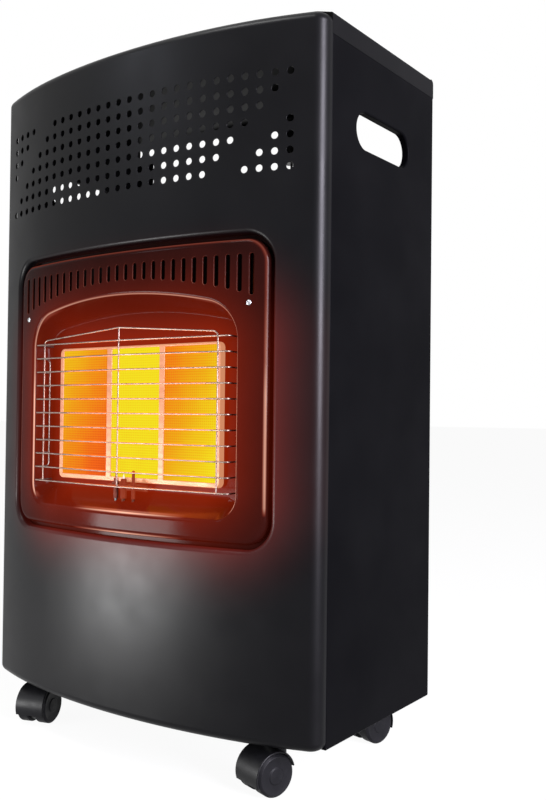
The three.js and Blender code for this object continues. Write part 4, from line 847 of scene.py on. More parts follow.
def makeFrontPanel():
    shell = newShell()
    lines = bowLines()
    sheet, roll, flange = cabinet["sheet"], frontPanel["roll"], frontPanel["flange"]
    rimRoll, rimDepth = frontPanel["rimRoll"], frontPanel["rimDepth"]
    low, high = cabinet["bottom"] + roll, panelTop - roll
    middle = (frontPanel["windowLow"] + frontPanel["windowHigh"]) / 2
    halfHeight = (frontPanel["windowHigh"] - frontPanel["windowLow"]) / 2
    box = (0, middle, frontPanel["windowHalf"], halfHeight, frontPanel["windowCorner"])
    window = roundedStops(*box, 14, lines)
    grown = (0, middle, box[2] + rimRoll, halfHeight + rimRoll)
    grownCorner = box[4] + rimRoll
    radius = vents["radius"] + vents["bevel"]
    holes = []
    for row in range(1, vents["rows"] + 1):
        for column in range(-vents["columns"], vents["columns"] + 1):
            u, z = column * vents["pitch"], vents["topRow"] - (row - 1) * vents["rowPitch"]
            if ventHole(u, z):
                holes.append(arcStops(u, z, radius, 0, 2 * math.pi, vents["sides"])[:-1])

    def keep(u, z):
        if inRounded(u, z, *grown, grownCorner):
            return False
        hole = ventHole(u, z)
        return not hole or math.hypot(u - hole[0], z - hole[1]) > radius * 0.97

    edge = [(u, low) for u in lines] + [(u, high) for u in reversed(lines)]
    across = [((u, low), (u, high)) for u in lines[1:-1]]
    outlines = [edge, shifted(window, rimRoll)] + [shifted(hole, 0) for hole in holes]
    addSheet(shell, outlines, across, keep, onBow)
    bevel = vents["bevel"]
    bore = [(0, 0, 0, 1), (-bevel * 0.3, bevel * 0.1, -0.4, 0.9)]
    bore += [(-bevel, bevel, -1, 0.1), (-bevel, sheet, -1, 0)]
    for hole in holes:
        addRim(shell, hole, bore, onBow)
        addRim(shell, hole, [(-bevel, sheet, 0, -1), (0, sheet, 0, -1)], onBow)
    rim = rollRow(rimRoll, 0, 10)
    rim += [(0, rimDepth, -1, 0)]
    addRim(shell, window, rim, onBow)
    addRim(shell, window, [(0, rimDepth, 0, -1), (sheet, rimDepth, 0, -1)], onBow)
    inner = rollRow(rimRoll, sheet, 8, -1)
    inner += [(sheet, rimDepth, 1, 0)]
    addRim(shell, window, inner, onBow)
    for edgeLevel, way in ((high, 1), (low, -1)):
        stops = [(u, edgeLevel, 0, way) for u in lines]
        outer, inner = foldRow(roll, 0, 12, 1, roll), foldRow(roll, sheet, 8, -1, roll)
        addRim(shell, stops, outer + [(roll, flange, 1, 0)], onBow, False)
        addRim(shell, stops, [(roll, flange, 0, -1), (roll - sheet, flange, 0, -1)], onBow, False)
        addRim(shell, stops, inner + [(roll - sheet, flange, -1, 0)], onBow, False)
    for way in (-1, 1):
        rows = []
        for z in (low, high):
            row = []
            for deep in (0, sheet):
                point, tangent, _ = onBow(way * frontEnd, deep, z)
                row.append((point, tangent * way))
            rows.append(row)
        addGrid(shell, rows)
    makePiece("front_panel_shell", shell, glowingPaint, "cabinet", ["front_panel"])


# Places points on a side panel by how far back and how high they are.
def sidePlace(side):

    def place(y, deep, z):
        x = side * (cabinet["half"] - deep)
        return Vector((x, y, z)), Vector((0, 1, 0)), Vector((side, 0, 0))

    return place


def makeSidePanel(side, name):
    shell = newShell()
    place = sidePlace(side)
    sheet, bend = cabinet["sheet"], sidePanel["bend"]
    front = bowAt(frontEnd)[1] + cabinet["front"] + cabinet["gap"]
    back, low = cabinet["back"], cabinet["bottom"]
    high = cabinet["top"] - topCover["band"] - cabinet["gap"]
    radius = sidePanel["handleHeight"] / 2
    box = (sidePanel["handleMiddle"], sidePanel["handleLevel"], sidePanel["handleLength"] / 2, radius, radius)
    slot = roundedStops(*box, 16)
    roll = sidePanel["handleRoll"]
    ahead, behind, foot = front + bend, back - bend, low + bend
    outline = [(ahead, foot), (behind, foot), (behind, high), (ahead, high)]

    def keep(y, z):
        return not inRounded(y, z, box[0], box[1], box[2] + roll, radius + roll, radius + roll)

    addSheet(shell, [outline, shifted(slot, roll)], [], keep, place)
    addRim(shell, slot, rollRow(roll, 0, 8) + [(0, sidePanel["handleDepth"], -1, 0)], place)
    depth = sidePanel["handleDepth"]
    addRim(shell, slot, [(0, depth, 0, -1), (sheet, depth, 0, -1)], place)
    addRim(shell, slot, rollRow(roll, sheet, 5, -1) + [(sheet, depth, 1, 0)], place)

    def bentEdge(start, end, out, flange):
        stops = [(*start, *out), (*end, *out)]
        outer, inner = foldRow(bend, 0, 6, 1, bend), foldRow(bend, sheet, 4, -1, bend)
        addRim(shell, stops, outer + [(bend, flange, 1, 0)], place, False)
        addRim(shell, stops, inner + [(bend - sheet, flange, -1, 0)], place, False)
        addRim(shell, stops, [(bend, flange, 0, -1), (bend - sheet, flange, 0, -1)], place, False)

    bentEdge((ahead, foot), (ahead, high), (-1, 0), sidePanel["frontFlange"])
    bentEdge((behind, foot), (behind, high), (1, 0), sidePanel["rearFlange"])
    bentEdge((ahead, foot), (behind, foot), (0, -1), sidePanel["bottomFlange"])
    top = [(front, high, 0, 1), (back, high, 0, 1)]
    addRim(shell, top, [(0, 0, 1, 0), (0, sheet + cabinet["gap"], 1, 0)], place, False)
    joggle = sheet + cabinet["gap"]
    tongue = [(y, high, 0, 1) for y in (front + 5, back - 6)]
    rise = panelTop - cabinet["gap"] - high
    for deep, way in ((joggle, 1), (joggle + sheet, -1)):
        addRim(shell, tongue, [(-8, deep, 0, way), (rise, deep, 0, way)], place, False)
    makePiece(name + "_shell", shell, paint, "cabinet", [name])


def makeTopCover():
    shell = newShell()
    top, sheet, bend, roll = cabinet["top"], cabinet["sheet"], topCover["bend"], topCover["rearRoll"]
    half, back = cabinet["half"], cabinet["back"]
    seam = bowAt(frontEnd)[1] + cabinet["front"] + cabinet["gap"]
    inset = frontPanel["roll"] + cabinet["gap"]
    lines = [u for u in bowLines() if abs(u) <= cornerEnd + 0.01]
    edge = [onBow(u, inset, 0)[0] for u in lines]
    corner = pocket["corner"]
    middleY = back - pocket["fromBack"] - pocket["length"] / 2
    lip = pocket["lip"]
    well = roundedStops(pocket["centre"], middleY, pocket["width"] / 2, pocket["length"] / 2, corner, 8)
    outline = [(p.x, p.y) for p in edge if abs(p.x) < half - bend - 0.2]
    wide = half - bend
    outline += [(wide, seam), (wide, back - roll), (-wide, back - roll), (-wide, seam)]

    def keep(x, y):
        box = (pocket["centre"], middleY, pocket["width"] / 2 + lip, pocket["length"] / 2 + lip, corner + lip)
        return not inRounded(x, y, *box) and y < back and inside(x, y)

    def inside(x, y):
        return abs(x) < half and y > bowAt(alongBow(x))[1] + cabinet["front"] + inset * 0.9

    def flat(x, deep, y):
        return Vector((x, y, top - deep)), Vector((1, 0, 0)), up

    addSheet(shell, [outline, shifted(well, lip)], [], keep, flat)
    # The pocket for the controls: a small lip, the walls and the floor.
    rows = []
    for x, y, ox, oy in well:
        out = Vector((ox, oy, 0))
        row = []
        for reach, deep, normalOut, normalUp in rollRow(lip, 0, 6) + [(0, pocket["depth"] - sheet, -1, 0)]:
            row.append((Vector((x, y, top - deep)) + out * reach, out * normalOut + up * normalUp))
        rows.append(row)
    addGrid(shell, rows, True)
    level = top - pocket["depth"] + sheet
    addFlat(shell, [shifted(well, 0)], [], lambda x, y: True, lambda x, y: (Vector((x, y, level)), up))
    rows = []
    for x, y, ox, oy in well:
        out = Vector((ox, oy, 0))
        rows.append([(Vector((x, y, z)) + out * sheet, out) for z in (top - sheet, top - pocket["depth"])])
    addGrid(shell, rows, True)
    below = top - pocket["depth"]
    addFlat(shell, [shifted(well, sheet)], [], lambda x, y: True, lambda x, y: (Vector((x, y, below)), -up))
    # The side bands and the rolled rear edge.
    band = top - topCover["band"]
    for side in (-1, 1):
        for thick, way in ((0, 1), (sheet, -1)):
            reach, flank = bend - thick, Vector((side * way, 0, 0))
            profile = []
            for s, c in quarterTurn(8):
                point = Vector((side * (half - bend + reach * s), 0, top - bend + reach * c))
                profile.append((point, Vector((side * s, 0, c)) * way))
            profile.append((Vector((side * (half - thick), 0, band)), flank))
            addGrid(shell, [[(p + Vector((0, y, 0)), n) for p, n in profile] for y in (seam, back - roll)])
            rear = []
            for s, c in quarterTurn(8):
                x, y, z = side * (half - thick), back - roll + roll * s, top - roll + roll * c
                rear.append([(Vector((x, y, height)), flank) for height in (z, band)])
            addGrid(shell, rear)
        for y, facing in ((seam, -1), (back, 1)):
            highest = top - roll if facing > 0 else top - bend
            corners = [(half, highest), (half - sheet, highest), (half - sheet, band), (half, band)]
            index = [addPoint(shell, Vector((side * x, y, z)), Vector((0, facing, 0))) for x, z in corners]
            shell["faces"].append(tuple(index))
        corners = [(seam, half), (back, half), (back, half - sheet), (seam, half - sheet)]
        index = [addPoint(shell, Vector((side * x, y, band)), -up) for y, x in corners]
        shell["faces"].append(tuple(index))
    for thick, way in ((0, 1), (sheet, -1)):
        reach = roll - thick
        rows = []
        for x in (-half, half):
            row = []
            for s, c in quarterTurn(8):
                point = Vector((x, back - roll + reach * s, top - roll + reach * c))
                row.append((point, Vector((0, s, c)) * way))
            rows.append(row)
        addGrid(shell, rows)
    makePiece("top_cover_shell", shell, coverPaint, "cabinet", ["top_cover"])


makeFrontPanel()
makeSidePanel(1, "side_panel_right")
makeSidePanel(-1, "side_panel_left")
makeTopCover()
print("cabinet made")

# Reflector pan.


def recessStops(steps=14):
    crownLevel = pan["crown"] - pan["crownRadius"]
    shoulderX = pan["halfWidth"] - pan["shoulder"]
    inner = pan["crownRadius"] - pan["shoulder"]
    shoulderZ = crownLevel + math.sqrt(inner**2 - shoulderX**2)
    footX, footZ = pan["halfWidth"] - pan["foot"], pan["low"] + pan["foot"]
    lean = math.atan2(shoulderZ - crownLevel, shoulderX)
    half = math.pi / 2
    stops = arcStops(footX, footZ, pan["foot"], -half, 0, steps)
    stops += arcStops(shoulderX, shoulderZ, pan["shoulder"], 0, lean, steps)
    stops += arcStops(0, crownLevel, pan["crownRadius"], lean, math.pi - lean, 24)[1:]
    stops += arcStops(-shoulderX, shoulderZ, pan["shoulder"], math.pi - lean, math.pi, steps)[1:]
    stops += arcStops(-footX, footZ, pan["foot"], math.pi, 3 * half, steps)
    count = 16
    for i in range(1, count):
        share = i / count
        stops.append((-footX + 2 * footX * share, pan["low"], 0, -1))
    return stops


# The recess from its lip to its floor, as [out, depth behind the crown of the front].
def recessProfile(x, outZ):
    face = bowAt(alongBow(x))[1] + pan["set"]
    slopeTo = pan["topSlope"] if outZ > 0 else pan["lowSlope"]
    slope = pan["sideSlope"] + (slopeTo - pan["sideSlope"]) * outZ**2
    lip, fillet = pan["lip"], pan["fillet"]
    run = pan["depth"] - face - lip
    lean = math.atan2(slope, run)
    points = []
    for i in range(9):
        angle = (math.pi / 2 - lean) * i / 8
        points.append((lip - lip * math.sin(angle), face + lip - lip * math.cos(angle)))
    start = points[-1]
    # A straight wall, then a fillet into the floor.
    floorOut = -slope - fillet * 0.6
    for i in range(1, 4):
        share = i / 4
        out = start[0] + (-slope - start[0]) * share * 0.85
        points.append((out, start[1] + (pan["depth"] - start[1]) * share * 0.85))
    last = points[-1]
    for i in range(1, 9):
        share = i / 8
        a = (1 - share) ** 2
        b = 2 * share * (1 - share)
        c = share**2
        points.append(
            (a * last[0] + b * (-slope) + c * floorOut, a * last[1] + b * pan["depth"] + c * pan["depth"])
        )
    return points


# Normals for a grid of points, from its own slopes.
def gridNormals(rows, closed):
    result = []
    count = len(rows)
    for i, row in enumerate(rows):
        before = rows[i - 1] if closed or i else row
        after = rows[(i + 1) % count] if closed or i < count - 1 else row
        pairs = []
        for j, point in enumerate(row):
            along = after[j] - before[j]
            across = row[min(j + 1, len(row) - 1)] - row[max(j - 1, 0)]
            normal = along.cross(across)
            pairs.append(normal if normal.length > 1e-9 else Vector((0, -1, 0)))
        result.append(pairs)
    return result


def makePan():
    shell = newShell()
    lines = [bowAt(u)[0] for u in bowLines()]
    middle = (frontPanel["windowLow"] + frontPanel["windowHigh"]) / 2
    halfHeight = (frontPanel["windowHigh"] - frontPanel["windowLow"]) / 2
    groove, roll = pan["groove"], pan["roll"]
    rimBox = (0, middle, frontPanel["windowHalf"] - groove, halfHeight - groove)
    rimStops = roundedStops(*rimBox, frontPanel["windowCorner"] - groove, 14, bowLines())

    def onPlate(u, deep, z):
        x, _, _ = bowAt(u)
        return onPan(x, deep, z)

    plateEdge = [(bowAt(u)[0], z) for u, z in shifted(rimStops, -roll)]
    recess = recessStops()
    mouth = shifted(recess, pan["lip"])
    crownLevel = pan["crown"] - pan["crownRadius"]
    slots = []
    bevel = 0.5
    half = pan["slotWidth"] / 2
    for i in range(pan["slotCount"]):
        x = (i - (pan["slotCount"] - 1) / 2) * pan["slotPitch"]
        foot = crownLevel + math.sqrt((pan["crownRadius"] + pan["slotAbove"]) ** 2 - x**2)
        height = (pan["slotTop"] - foot) / 2
        slots.append((x, foot + height, height, roundedStops(x, foot + height, half, height, half - 0.01, 7)))

    def insideRecess(x, z):
        if abs(x) > pan["halfWidth"] + pan["lip"] or z < pan["low"] - pan["lip"]:
            return False
        inside = False
        for (x0, z0), (x1, z1) in zip(mouth, mouth[1:] + mouth[:1]):
            if (z0 > z) != (z1 > z) and x < (x1 - x0) * (z - z0) / (z1 - z0) + x0:
                inside = not inside
        return inside

    outerHalf = bowAt(frontPanel["windowHalf"] - groove - roll)[0] + 0.2
    outerBox = (0, middle, outerHalf, halfHeight - groove - roll + 0.05)
    wide = half + bevel

    def keep(x, z):
        if not inRounded(x, z, *outerBox, frontPanel["windowCorner"] - groove - roll):
            return False
        for sx, sz, height, _ in slots:
            if abs(x - sx) < wide and inRounded(x, z, sx, sz, wide, height + bevel, wide):
                return False
        return not insideRecess(x, z)

    across = [((x, frontPanel["windowLow"]), (x, frontPanel["windowHigh"])) for x in lines if abs(x) < 170]
    slotOutlines = [shifted(stops, bevel) for _, _, _, stops in slots]
    sheet = cabinet["sheet"]
    addSheet(shell, [plateEdge, mouth] + slotOutlines, across, keep, onPan)
    for _, _, _, stops in slots:
        addRim(shell, stops, rollRow(bevel, 0, 4) + [(0, sheet, -1, 0)], onPan)
    edge = foldRow(roll, 0, 10)
    depth = frontPanel["rimDepth"] + cabinet["gap"] - pan["set"]
    addRim(shell, rimStops, edge + [(0, depth, 1, 0)], onPlate)
    addRim(shell, rimStops, [(0, depth, 0, 1), (pan["flange"], depth, 0, 1)], onPlate)
    addRim(shell, rimStops, [(pan["flange"], depth + sheet, 0, -1), (-sheet, depth + sheet, 0, -1)], onPlate)
    inner = foldRow(roll, sheet, 6, -1)
    addRim(shell, rimStops, inner + [(-sheet, depth, -1, 0)], onPlate)
    rows = []
    for x, z, ox, oz in recess:
        row = []
        for out, deep in recessProfile(x, oz):
            px = x + out * ox
            if len(row) < 9:
                deep = deep - bowAt(alongBow(x))[1] + bowAt(alongBow(px))[1]
            row.append(Vector((px, cabinet["front"] + deep, z + out * oz)))
        rows.append(row)
    normals = gridNormals(rows, True)
    pairs = []
    for row, normalRow in zip(rows, normals):
        line = []
        for point, normal in zip(row, normalRow):
            line.append((point, normal if normal.y < 0 or abs(normal.y) < 0.2 * normal.length else -normal))
        line[0] = (row[0], bowFrame(alongBow(row[0].x))[2])
        line[-1] = (row[-1], Vector((0, -1, 0)))
        pairs.append(line)
    addGrid(shell, pairs, True)
    backRows = [[(p + Vector((0, sheet, 0)), -n) for p, n in line] for line in pairs]
    addGrid(shell, backRows, True)
    floorEdge = [(row[-1].x, row[-1].z) for row in rows]
    level = cabinet["front"] + pan["depth"]
    burnerMiddle = (burner["low"] + burner["high"]) / 2
    holeBox = (0, burnerMiddle, burner["half"] - sheet, (burner["high"] - burner["low"]) / 2 - sheet, 4)
    hole = roundedStops(*holeBox, 6)

    def onFloor(x, deep, z):
        return Vector((x, level + deep, z)), Vector((1, 0, 0)), Vector((0, -1, 0))

    def besideHole(x, z):
        return not inRounded(x, z, *holeBox)

    addSheet(shell, [floorEdge, shifted(hole, 0)], [], besideHole, onFloor)
    makePiece("reflector_pan_shell", shell, enamel, "cabinet", ["reflector_pan"])


makePan()
print("pan made")

# Burner.


# A block with small rounded edges.
def boxShell(shell, x0, x1, y0, y1, z0, z1, bevel=0.4):
    cx, cy, cz = (x0 + x1) / 2, (y0 + y1) / 2, (z0 + z1) / 2
    hx, hy, hz = (x1 - x0) / 2, (y1 - y0) / 2, (z1 - z0) / 2
    axes = (Vector((1, 0, 0)), Vector((0, 1, 0)), up)
    halves = (hx, hy, hz)
    centre = Vector((cx, cy, cz))
    for k in range(3):
        a, b = (k + 1) % 3, (k + 2) % 3
        for way in (-1, 1):
            rows = []
            spread = (-1, -1 + bevel / halves[a], 1 - bevel / halves[a], 1)
            spread2 = (-1, -1 + bevel / halves[b], 1 - bevel / halves[b], 1)
            for s in spread:
                row = []
                for t in spread2:
                    lean = Vector()
                    sink = 0
                    if abs(s) == 1:
                        lean += axes[a] * s * 0.7
                        sink = bevel * 0.3
                    if abs(t) == 1:
                        lean += axes[b] * t * 0.7
                        sink = bevel * 0.3
                    place = centre + axes[a] * (s * (halves[a] - sink)) + axes[b] * (t * (halves[b] - sink))
                    place += axes[k] * way * (halves[k] - (sink if abs(s) == 1 or abs(t) == 1 else 0))
                    row.append((place, axes[k] * way + lean))
                rows.append(row)
            addGrid(shell, rows)


def makeBurner():
    front = cabinet["front"] + burner["face"]
    floor = cabinet["front"] + pan["depth"] - cabinet["gap"]
    middle = (burner["low"] + burner["high"]) / 2
    halfHeight = (burner["high"] - burner["low"]) / 2
    span = 2 * (burner["half"] - burner["side"]) + burner["bar"]
    step = span / burner["count"]
    shell = newShell()
    edge = 1.2
    outer = roundedStops(0, middle, burner["half"], halfHeight, burner["corner"], 10)

    def place(x, deep, z):
        return Vector((x, front + deep, z)), Vector((1, 0, 0)), Vector((0, -1, 0))

    windows = []
    for i in range(burner["count"]):
        x = (i - (burner["count"] - 1) / 2) * step
        low, high = burner["low"] + burner["foot"], burner["high"] - burner["head"]
        box = (x, (low + high) / 2, (step - burner["bar"]) / 2, (high - low) / 2, 1.2)
        windows.append((box, roundedStops(*box, 4)))
    press = 0.6

    def keep(x, z):
        return not any(inRounded(x, z, *box[:2], *(size + press for size in box[2:])) for box, _ in windows)

    outlines = [shifted(outer, -edge)] + [shifted(stops, press) for _, stops in windows]
    addFlat(shell, outlines, [], keep, lambda x, z: (Vector((x, front, z)), Vector((0, -1, 0))))
    addRim(shell, outer, foldRow(edge, 0, 6) + [(0, floor - front, 1, 0)], place)
    addRim(shell, outer, [(-1.2, floor - front, -1, 0), (-1.2, 1.2, -1, 0)], place)
    for _, stops in windows:
        addRim(shell, stops, rollRow(press, 0, 4) + [(0, burner["lip"], -1, 0)], place)
    makePiece("burner_frame_shell", shell, tintedAndGlowing, "cabinet", ["burner_frame"])
    for i, side in enumerate(("left", "centre", "right")):
        x = (i - 1) * step
        half = step / 2 - burner["bar"] / 2 + burner["plaqueLap"]
        block = newShell()
        start = front + burner["lip"] + cabinet["gap"]
        end = start + burner["plaqueThickness"]
        foot, head = burner["low"] + burner["plaqueEnd"], burner["high"] - burner["plaqueEnd"]
        boxShell(block, x - half, x + half, start, end, foot, head, 0.5)
        node = "ceramic_plaque_" + side
        makePiece("plaque_" + side, block, plaques[side], "cabinet", [node])


def bendPath(points, radius, steps=6):
    path = [Vector(p) for p in points]
    bent = [path[0]]
    for before, corner, after in zip(path, path[1:], path[2:]):
        back = (before - corner).normalized()
        ahead = (after - corner).normalized()
        half = back.angle(ahead) / 2
        reach = radius / math.tan(half)
        if reach < 0.2:
            bent.append(corner)
            continue
        centre = corner + (back + ahead).normalized() * (radius / math.sin(half))
        start = corner + back * reach - centre
        axis = -back.cross(ahead).normalized()
        for i in range(steps + 1):
            turn = Matrix.Rotation((math.pi - 2 * half) * i / steps, 3, axis)
            bent.append(centre + turn @ start)
    bent.append(path[-1])
    return bent


# A round wire along a path, with slightly domed ends.
def addTube(shell, path, radius, sides=12, closed=False):
    count = len(path)

    def heading(i):
        before = path[i - 1] if closed or i else path[i]
        after = path[(i + 1) % count] if closed or i < count - 1 else path[i]
        return (after - before).normalized()

    direction = heading(0)
    side = direction.cross(up if abs(direction.z) < 0.9 else Vector((0, 1, 0))).normalized()
    rows = []
    for i, point in enumerate(path):
        ahead = heading(i)
        side = (direction.rotation_difference(ahead) @ side).normalized()
        side = (side - ahead * side.dot(ahead)).normalized()
        direction = ahead
        other = ahead.cross(side)
        row = []
        for k in range(sides + 1):
            angle = 2 * math.pi * k / sides
            out = side * math.cos(angle) + other * math.sin(angle)
            row.append((point + out * radius, out))
        rows.append(row)
    addGrid(shell, rows, closed)
    if closed:
        return
    for end, way in ((0, -1), (-1, 1)):
        ahead = heading(0 if end == 0 else count - 1) * way
        ring = rows[end]
        centre = addPoint(shell, path[end] + ahead * radius * 0.25, ahead)
        index = [addPoint(shell, point, normal + ahead) for point, normal in ring]
        for k in range(sides):
            shell["faces"].append((index[k], index[k + 1], centre))


def guardLevel(row):
    return guard["top"] - (row - 1) * guard["pitch"]


def guardAcross(x, z, behind=0):
    depth = guard["crown"] + (guard["corner"] - guard["crown"]) * abs(x) / guard["half"]
    return (x, cabinet["front"] + depth + behind, z)


def makeGuard():
    shell = newShell()
    half, rearHalf, front = guard["half"], guard["rearHalf"], cabinet["front"]
    for row in range(1, guard["rows"] + 1):
        if row in (2, guard["rows"] - 1):
            continue
        z = guardLevel(row)
        rear = front + (pan["depth"] + 2 if row in (1, guard["rows"]) else guard["rear"])
        across = [guardAcross(x, z) for x in (-half, 0, half)]
        path = [(-rearHalf, rear, z), *across, (rearHalf, rear, z)]
        addTube(shell, bendPath(path, guard["bend"], 6), guard["wire"])
    high, low = guardLevel(2), guardLevel(guard["rows"] - 1)
    rear = front + guard["rear"]
    path = [(-rearHalf, rear, (high + low) / 2), (-rearHalf, rear, high)]
    path += [guardAcross(x, high) for x in (-half, 0, half)]
    path += [(rearHalf, rear, high), (rearHalf, rear, low)]
    path += [guardAcross(x, low) for x in (half, 0, -half)]
    path += [(-rearHalf, rear, low), (-rearHalf, rear, (high + low) / 2)]
    addTube(shell, bendPath(path, guard["bend"], 6)[:-1], guard["wire"], 12, True)
    foot, shoulder, peak = guardLevel(guard["rows"]) - guard["wire"], guard["shoulder"], guard["peak"]
    behind, legs = guard["behind"], guard["legs"]
    corners = [(-legs, foot), (-legs, shoulder), (0, peak), (legs, shoulder), (legs, foot)]
    addTube(shell, bendPath([guardAcross(x, z, behind) for x, z in corners], 6, 8), guard["wire"])
    addTube(shell, [Vector(guardAcross(0, z, behind)) for z in (foot, peak)], guard["wire"])
    makePiece("guard_wires", shell, chrome, "cabinet", ["wire_guard"])


makeBurner()
makeGuard()
print("burner made")

# Castors.


# Turns (radius, height, normal out, normal up) points round an axis through a centre.
def lathe(shell, profile, axis, centre, sides=48):
    axis = axis.normalized()
    side = axis.orthogonal().normalized()
    other = axis.cross(side)
    rows = []
    for k in range(sides + 1):
        angle = 2 * math.pi * k / sides
        out = side * math.cos(angle) + other * math.sin(angle)
        rows.append([(centre + out * r + axis * h, out * nr + axis * nh) for r, h, nr, nh in profile])
    addGrid(shell, rows)


# A turned profile with rounded corners, from (radius, height) points.
def roundedProfile(points, radius, steps=4):
    path = bendPath([(r, h, 0) for r, h in points], radius, steps)
    profile = []
    for i, point in enumerate(path):
        before = path[max(i - 1, 0)]
        after = path[min(i + 1, len(path) - 1)]
        run = (after - before).normalized()
        profile.append((point.x, point.y, run.y, -run.x))
    return profile


def castorPlace(name):
    x = castor["x"] * (1 if name.endswith("right") else -1)
    y = castor["front"] if name.startswith("front") else castor["rear"]
    return Vector((x, y, 0)), math.radians(castor["turns"][name])


def makeCastor(name):
    place, turn = castorPlace(name)
    ahead = Vector((math.cos(turn), math.sin(turn), 0))
    across = Vector((-math.sin(turn), math.cos(turn), 0))
    hub = place + ahead * castor["trail"] + up * castor["radius"]
    half, radius = castor["width"] / 2, castor["radius"]
    for side, letter in ((1, "a"), (-1, "b")):
        shell = newShell()
        axis = across * side
        centre = hub + axis * castor["centre"]
        points = [
            (2.8, -half),
            (radius - 0.1, -half),
            (radius, half - 2.2),
            (radius - 2.4, half - 0.2),
            (radius - 6.5, half - 1.0),
            (8.2, half - 1.0),
            (7.4, half - 0.2),
            (0.01, half),
        ]
        lathe(shell, roundedProfile(points, 1.1), axis, centre)
        lathe(shell, [(2.8, -half, -1, 0), (2.8, half - 3, -1, 0)], axis, centre, 20)
        wheel = "castor_%s_wheel_%s" % (name, letter)
        makePiece(wheel + "_tyre", shell, tread, wheel, [wheel])
    shell = newShell()
    reach = castor["centre"] + half - 1
    web = castor["centre"] - half - cabinet["gap"]
    start, end = math.radians(castor["hoodFrom"]), math.radians(castor["hoodTo"])
    outer, inner = castor["hood"], castor["hood"] - castor["gauge"]
    steps = 30

    def spoke(angle):
        return ahead * math.cos(angle) + up * math.sin(angle)

    crown = bendPath([(inner, -reach, 0), (outer, -reach, 0), (outer, reach, 0), (inner, reach, 0)], 1.2, 4)
    rows, under = [], []
    for i in range(steps + 1):
        out = spoke(start + (end - start) * i / steps)
        row = []
        for j, point in enumerate(crown):
            run = crown[min(j + 1, len(crown) - 1)] - crown[max(j - 1, 0)]
            normal = out * run.y - across * run.x
            row.append((hub + out * point.x + across * point.y, normal))
        rows.append(row)
        under.append([(hub + out * inner + across * y, -out) for y in (-reach, reach - 0.01)])
    addGrid(shell, rows)
    addGrid(shell, under)
    for angle, way in ((start, -1), (end, 1)):
        out = spoke(angle)
        facing = (ahead * -math.sin(angle) + up * math.cos(angle)) * way
        hoodEnd = ((inner, -reach), (outer, -reach + 0.6), (outer, reach - 0.6), (inner, reach))
        webEnd = ((radius - 4, -web), (inner + 0.1, -web), (inner + 0.1, web), (radius - 4, web))
        for corners in (hoodEnd, webEnd):
            index = [addPoint(shell, hub + out * r + across * y, facing) for r, y in corners]
            shell["faces"].append(tuple(index))
    for side in (-1, 1):
        axis = across * side
        profile = roundedProfile([(2.8, web), (radius - 3, web), (radius - 3, 0)], 0.6)
        lathe(shell, [(r, h, -n, -m) for r, h, n, m in profile], axis, hub, 40)
        turns = [start + (end - start) * i / steps for i in range(steps + 1)]
        ends = (radius - 4, outer - 0.3)
        addGrid(shell, [[(hub + spoke(a) * r + axis * web, axis) for r in ends] for a in turns])
    # The boss that the stem turns in, and the stem.
    boss, low, high = castor["bossRadius"], castor["bossLow"], castor["bossHigh"]
    lathe(shell, roundedProfile([(boss, low), (boss, high), (0.01, high)], 1.2), up, place, 32)
    stem = castor["stemRadius"]
    lathe(shell, [(stem, high - 1, 1, 0), (stem, castor["stemTop"], 1, 0)], up, place, 24)
    node = "castor_%s_body" % name
    makePiece("castor_%s_hood" % name, shell, nylon, "castor_" + name, [node])


for castorName in castor["turns"]:
    makeCastor(castorName)
print("castors made")

# Rear cover: a shallow pressed tray with two columns of louvres and a grip slot.


def onRear(x, deep, z):
    skin = cabinet["back"] + cabinet["gap"] + cabinet["sheet"]
    return Vector((x, skin - deep, z)), Vector((1, 0, 0)), Vector((0, 1, 0))


def addLouvre(shell, x, low):
    skin = cabinet["back"] + cabinet["gap"] + cabinet["sheet"]
    rise = cabinet["back"] + rearCover["stand"] - skin
    high, foot = low + rearCover["louvreHeight"] + 2, low + 1
    half, turn = rearCover["louvreLength"] / 2, 7
    across = 10
    runs = [half - turn + turn * s for s, _ in quarterTurn(8)]
    columns = [-run for run in reversed(runs)] + runs
    for thick in (0, 0.8):
        rows = []
        for run in columns:
            past = max(abs(run) - (half - turn), 0) / turn
            stand = rise * math.sqrt(max(1 - past * past, 0))
            row = []
            for i in range(across + 1):
                share = i / across
                swell = share * share * (3 - 2 * share)
                row.append(Vector((x + run, skin + stand * swell - thick, high - (high - foot) * share)))
            rows.append(row)
        normals = gridNormals(rows, False)
        way = 1 if thick == 0 else -1
        pairs = []
        for row, line in zip(rows, normals):
            pairs.append([(p, n * (way if n.y > 0 else -way)) for p, n in zip(row, line)])
        addGrid(shell, pairs)
        if thick == 0:
            outerFoot = [row[-1] for row in rows]
        else:
            addGrid(shell, [[(a, -up), (row[-1], -up)] for a, row in zip(outerFoot, rows)])


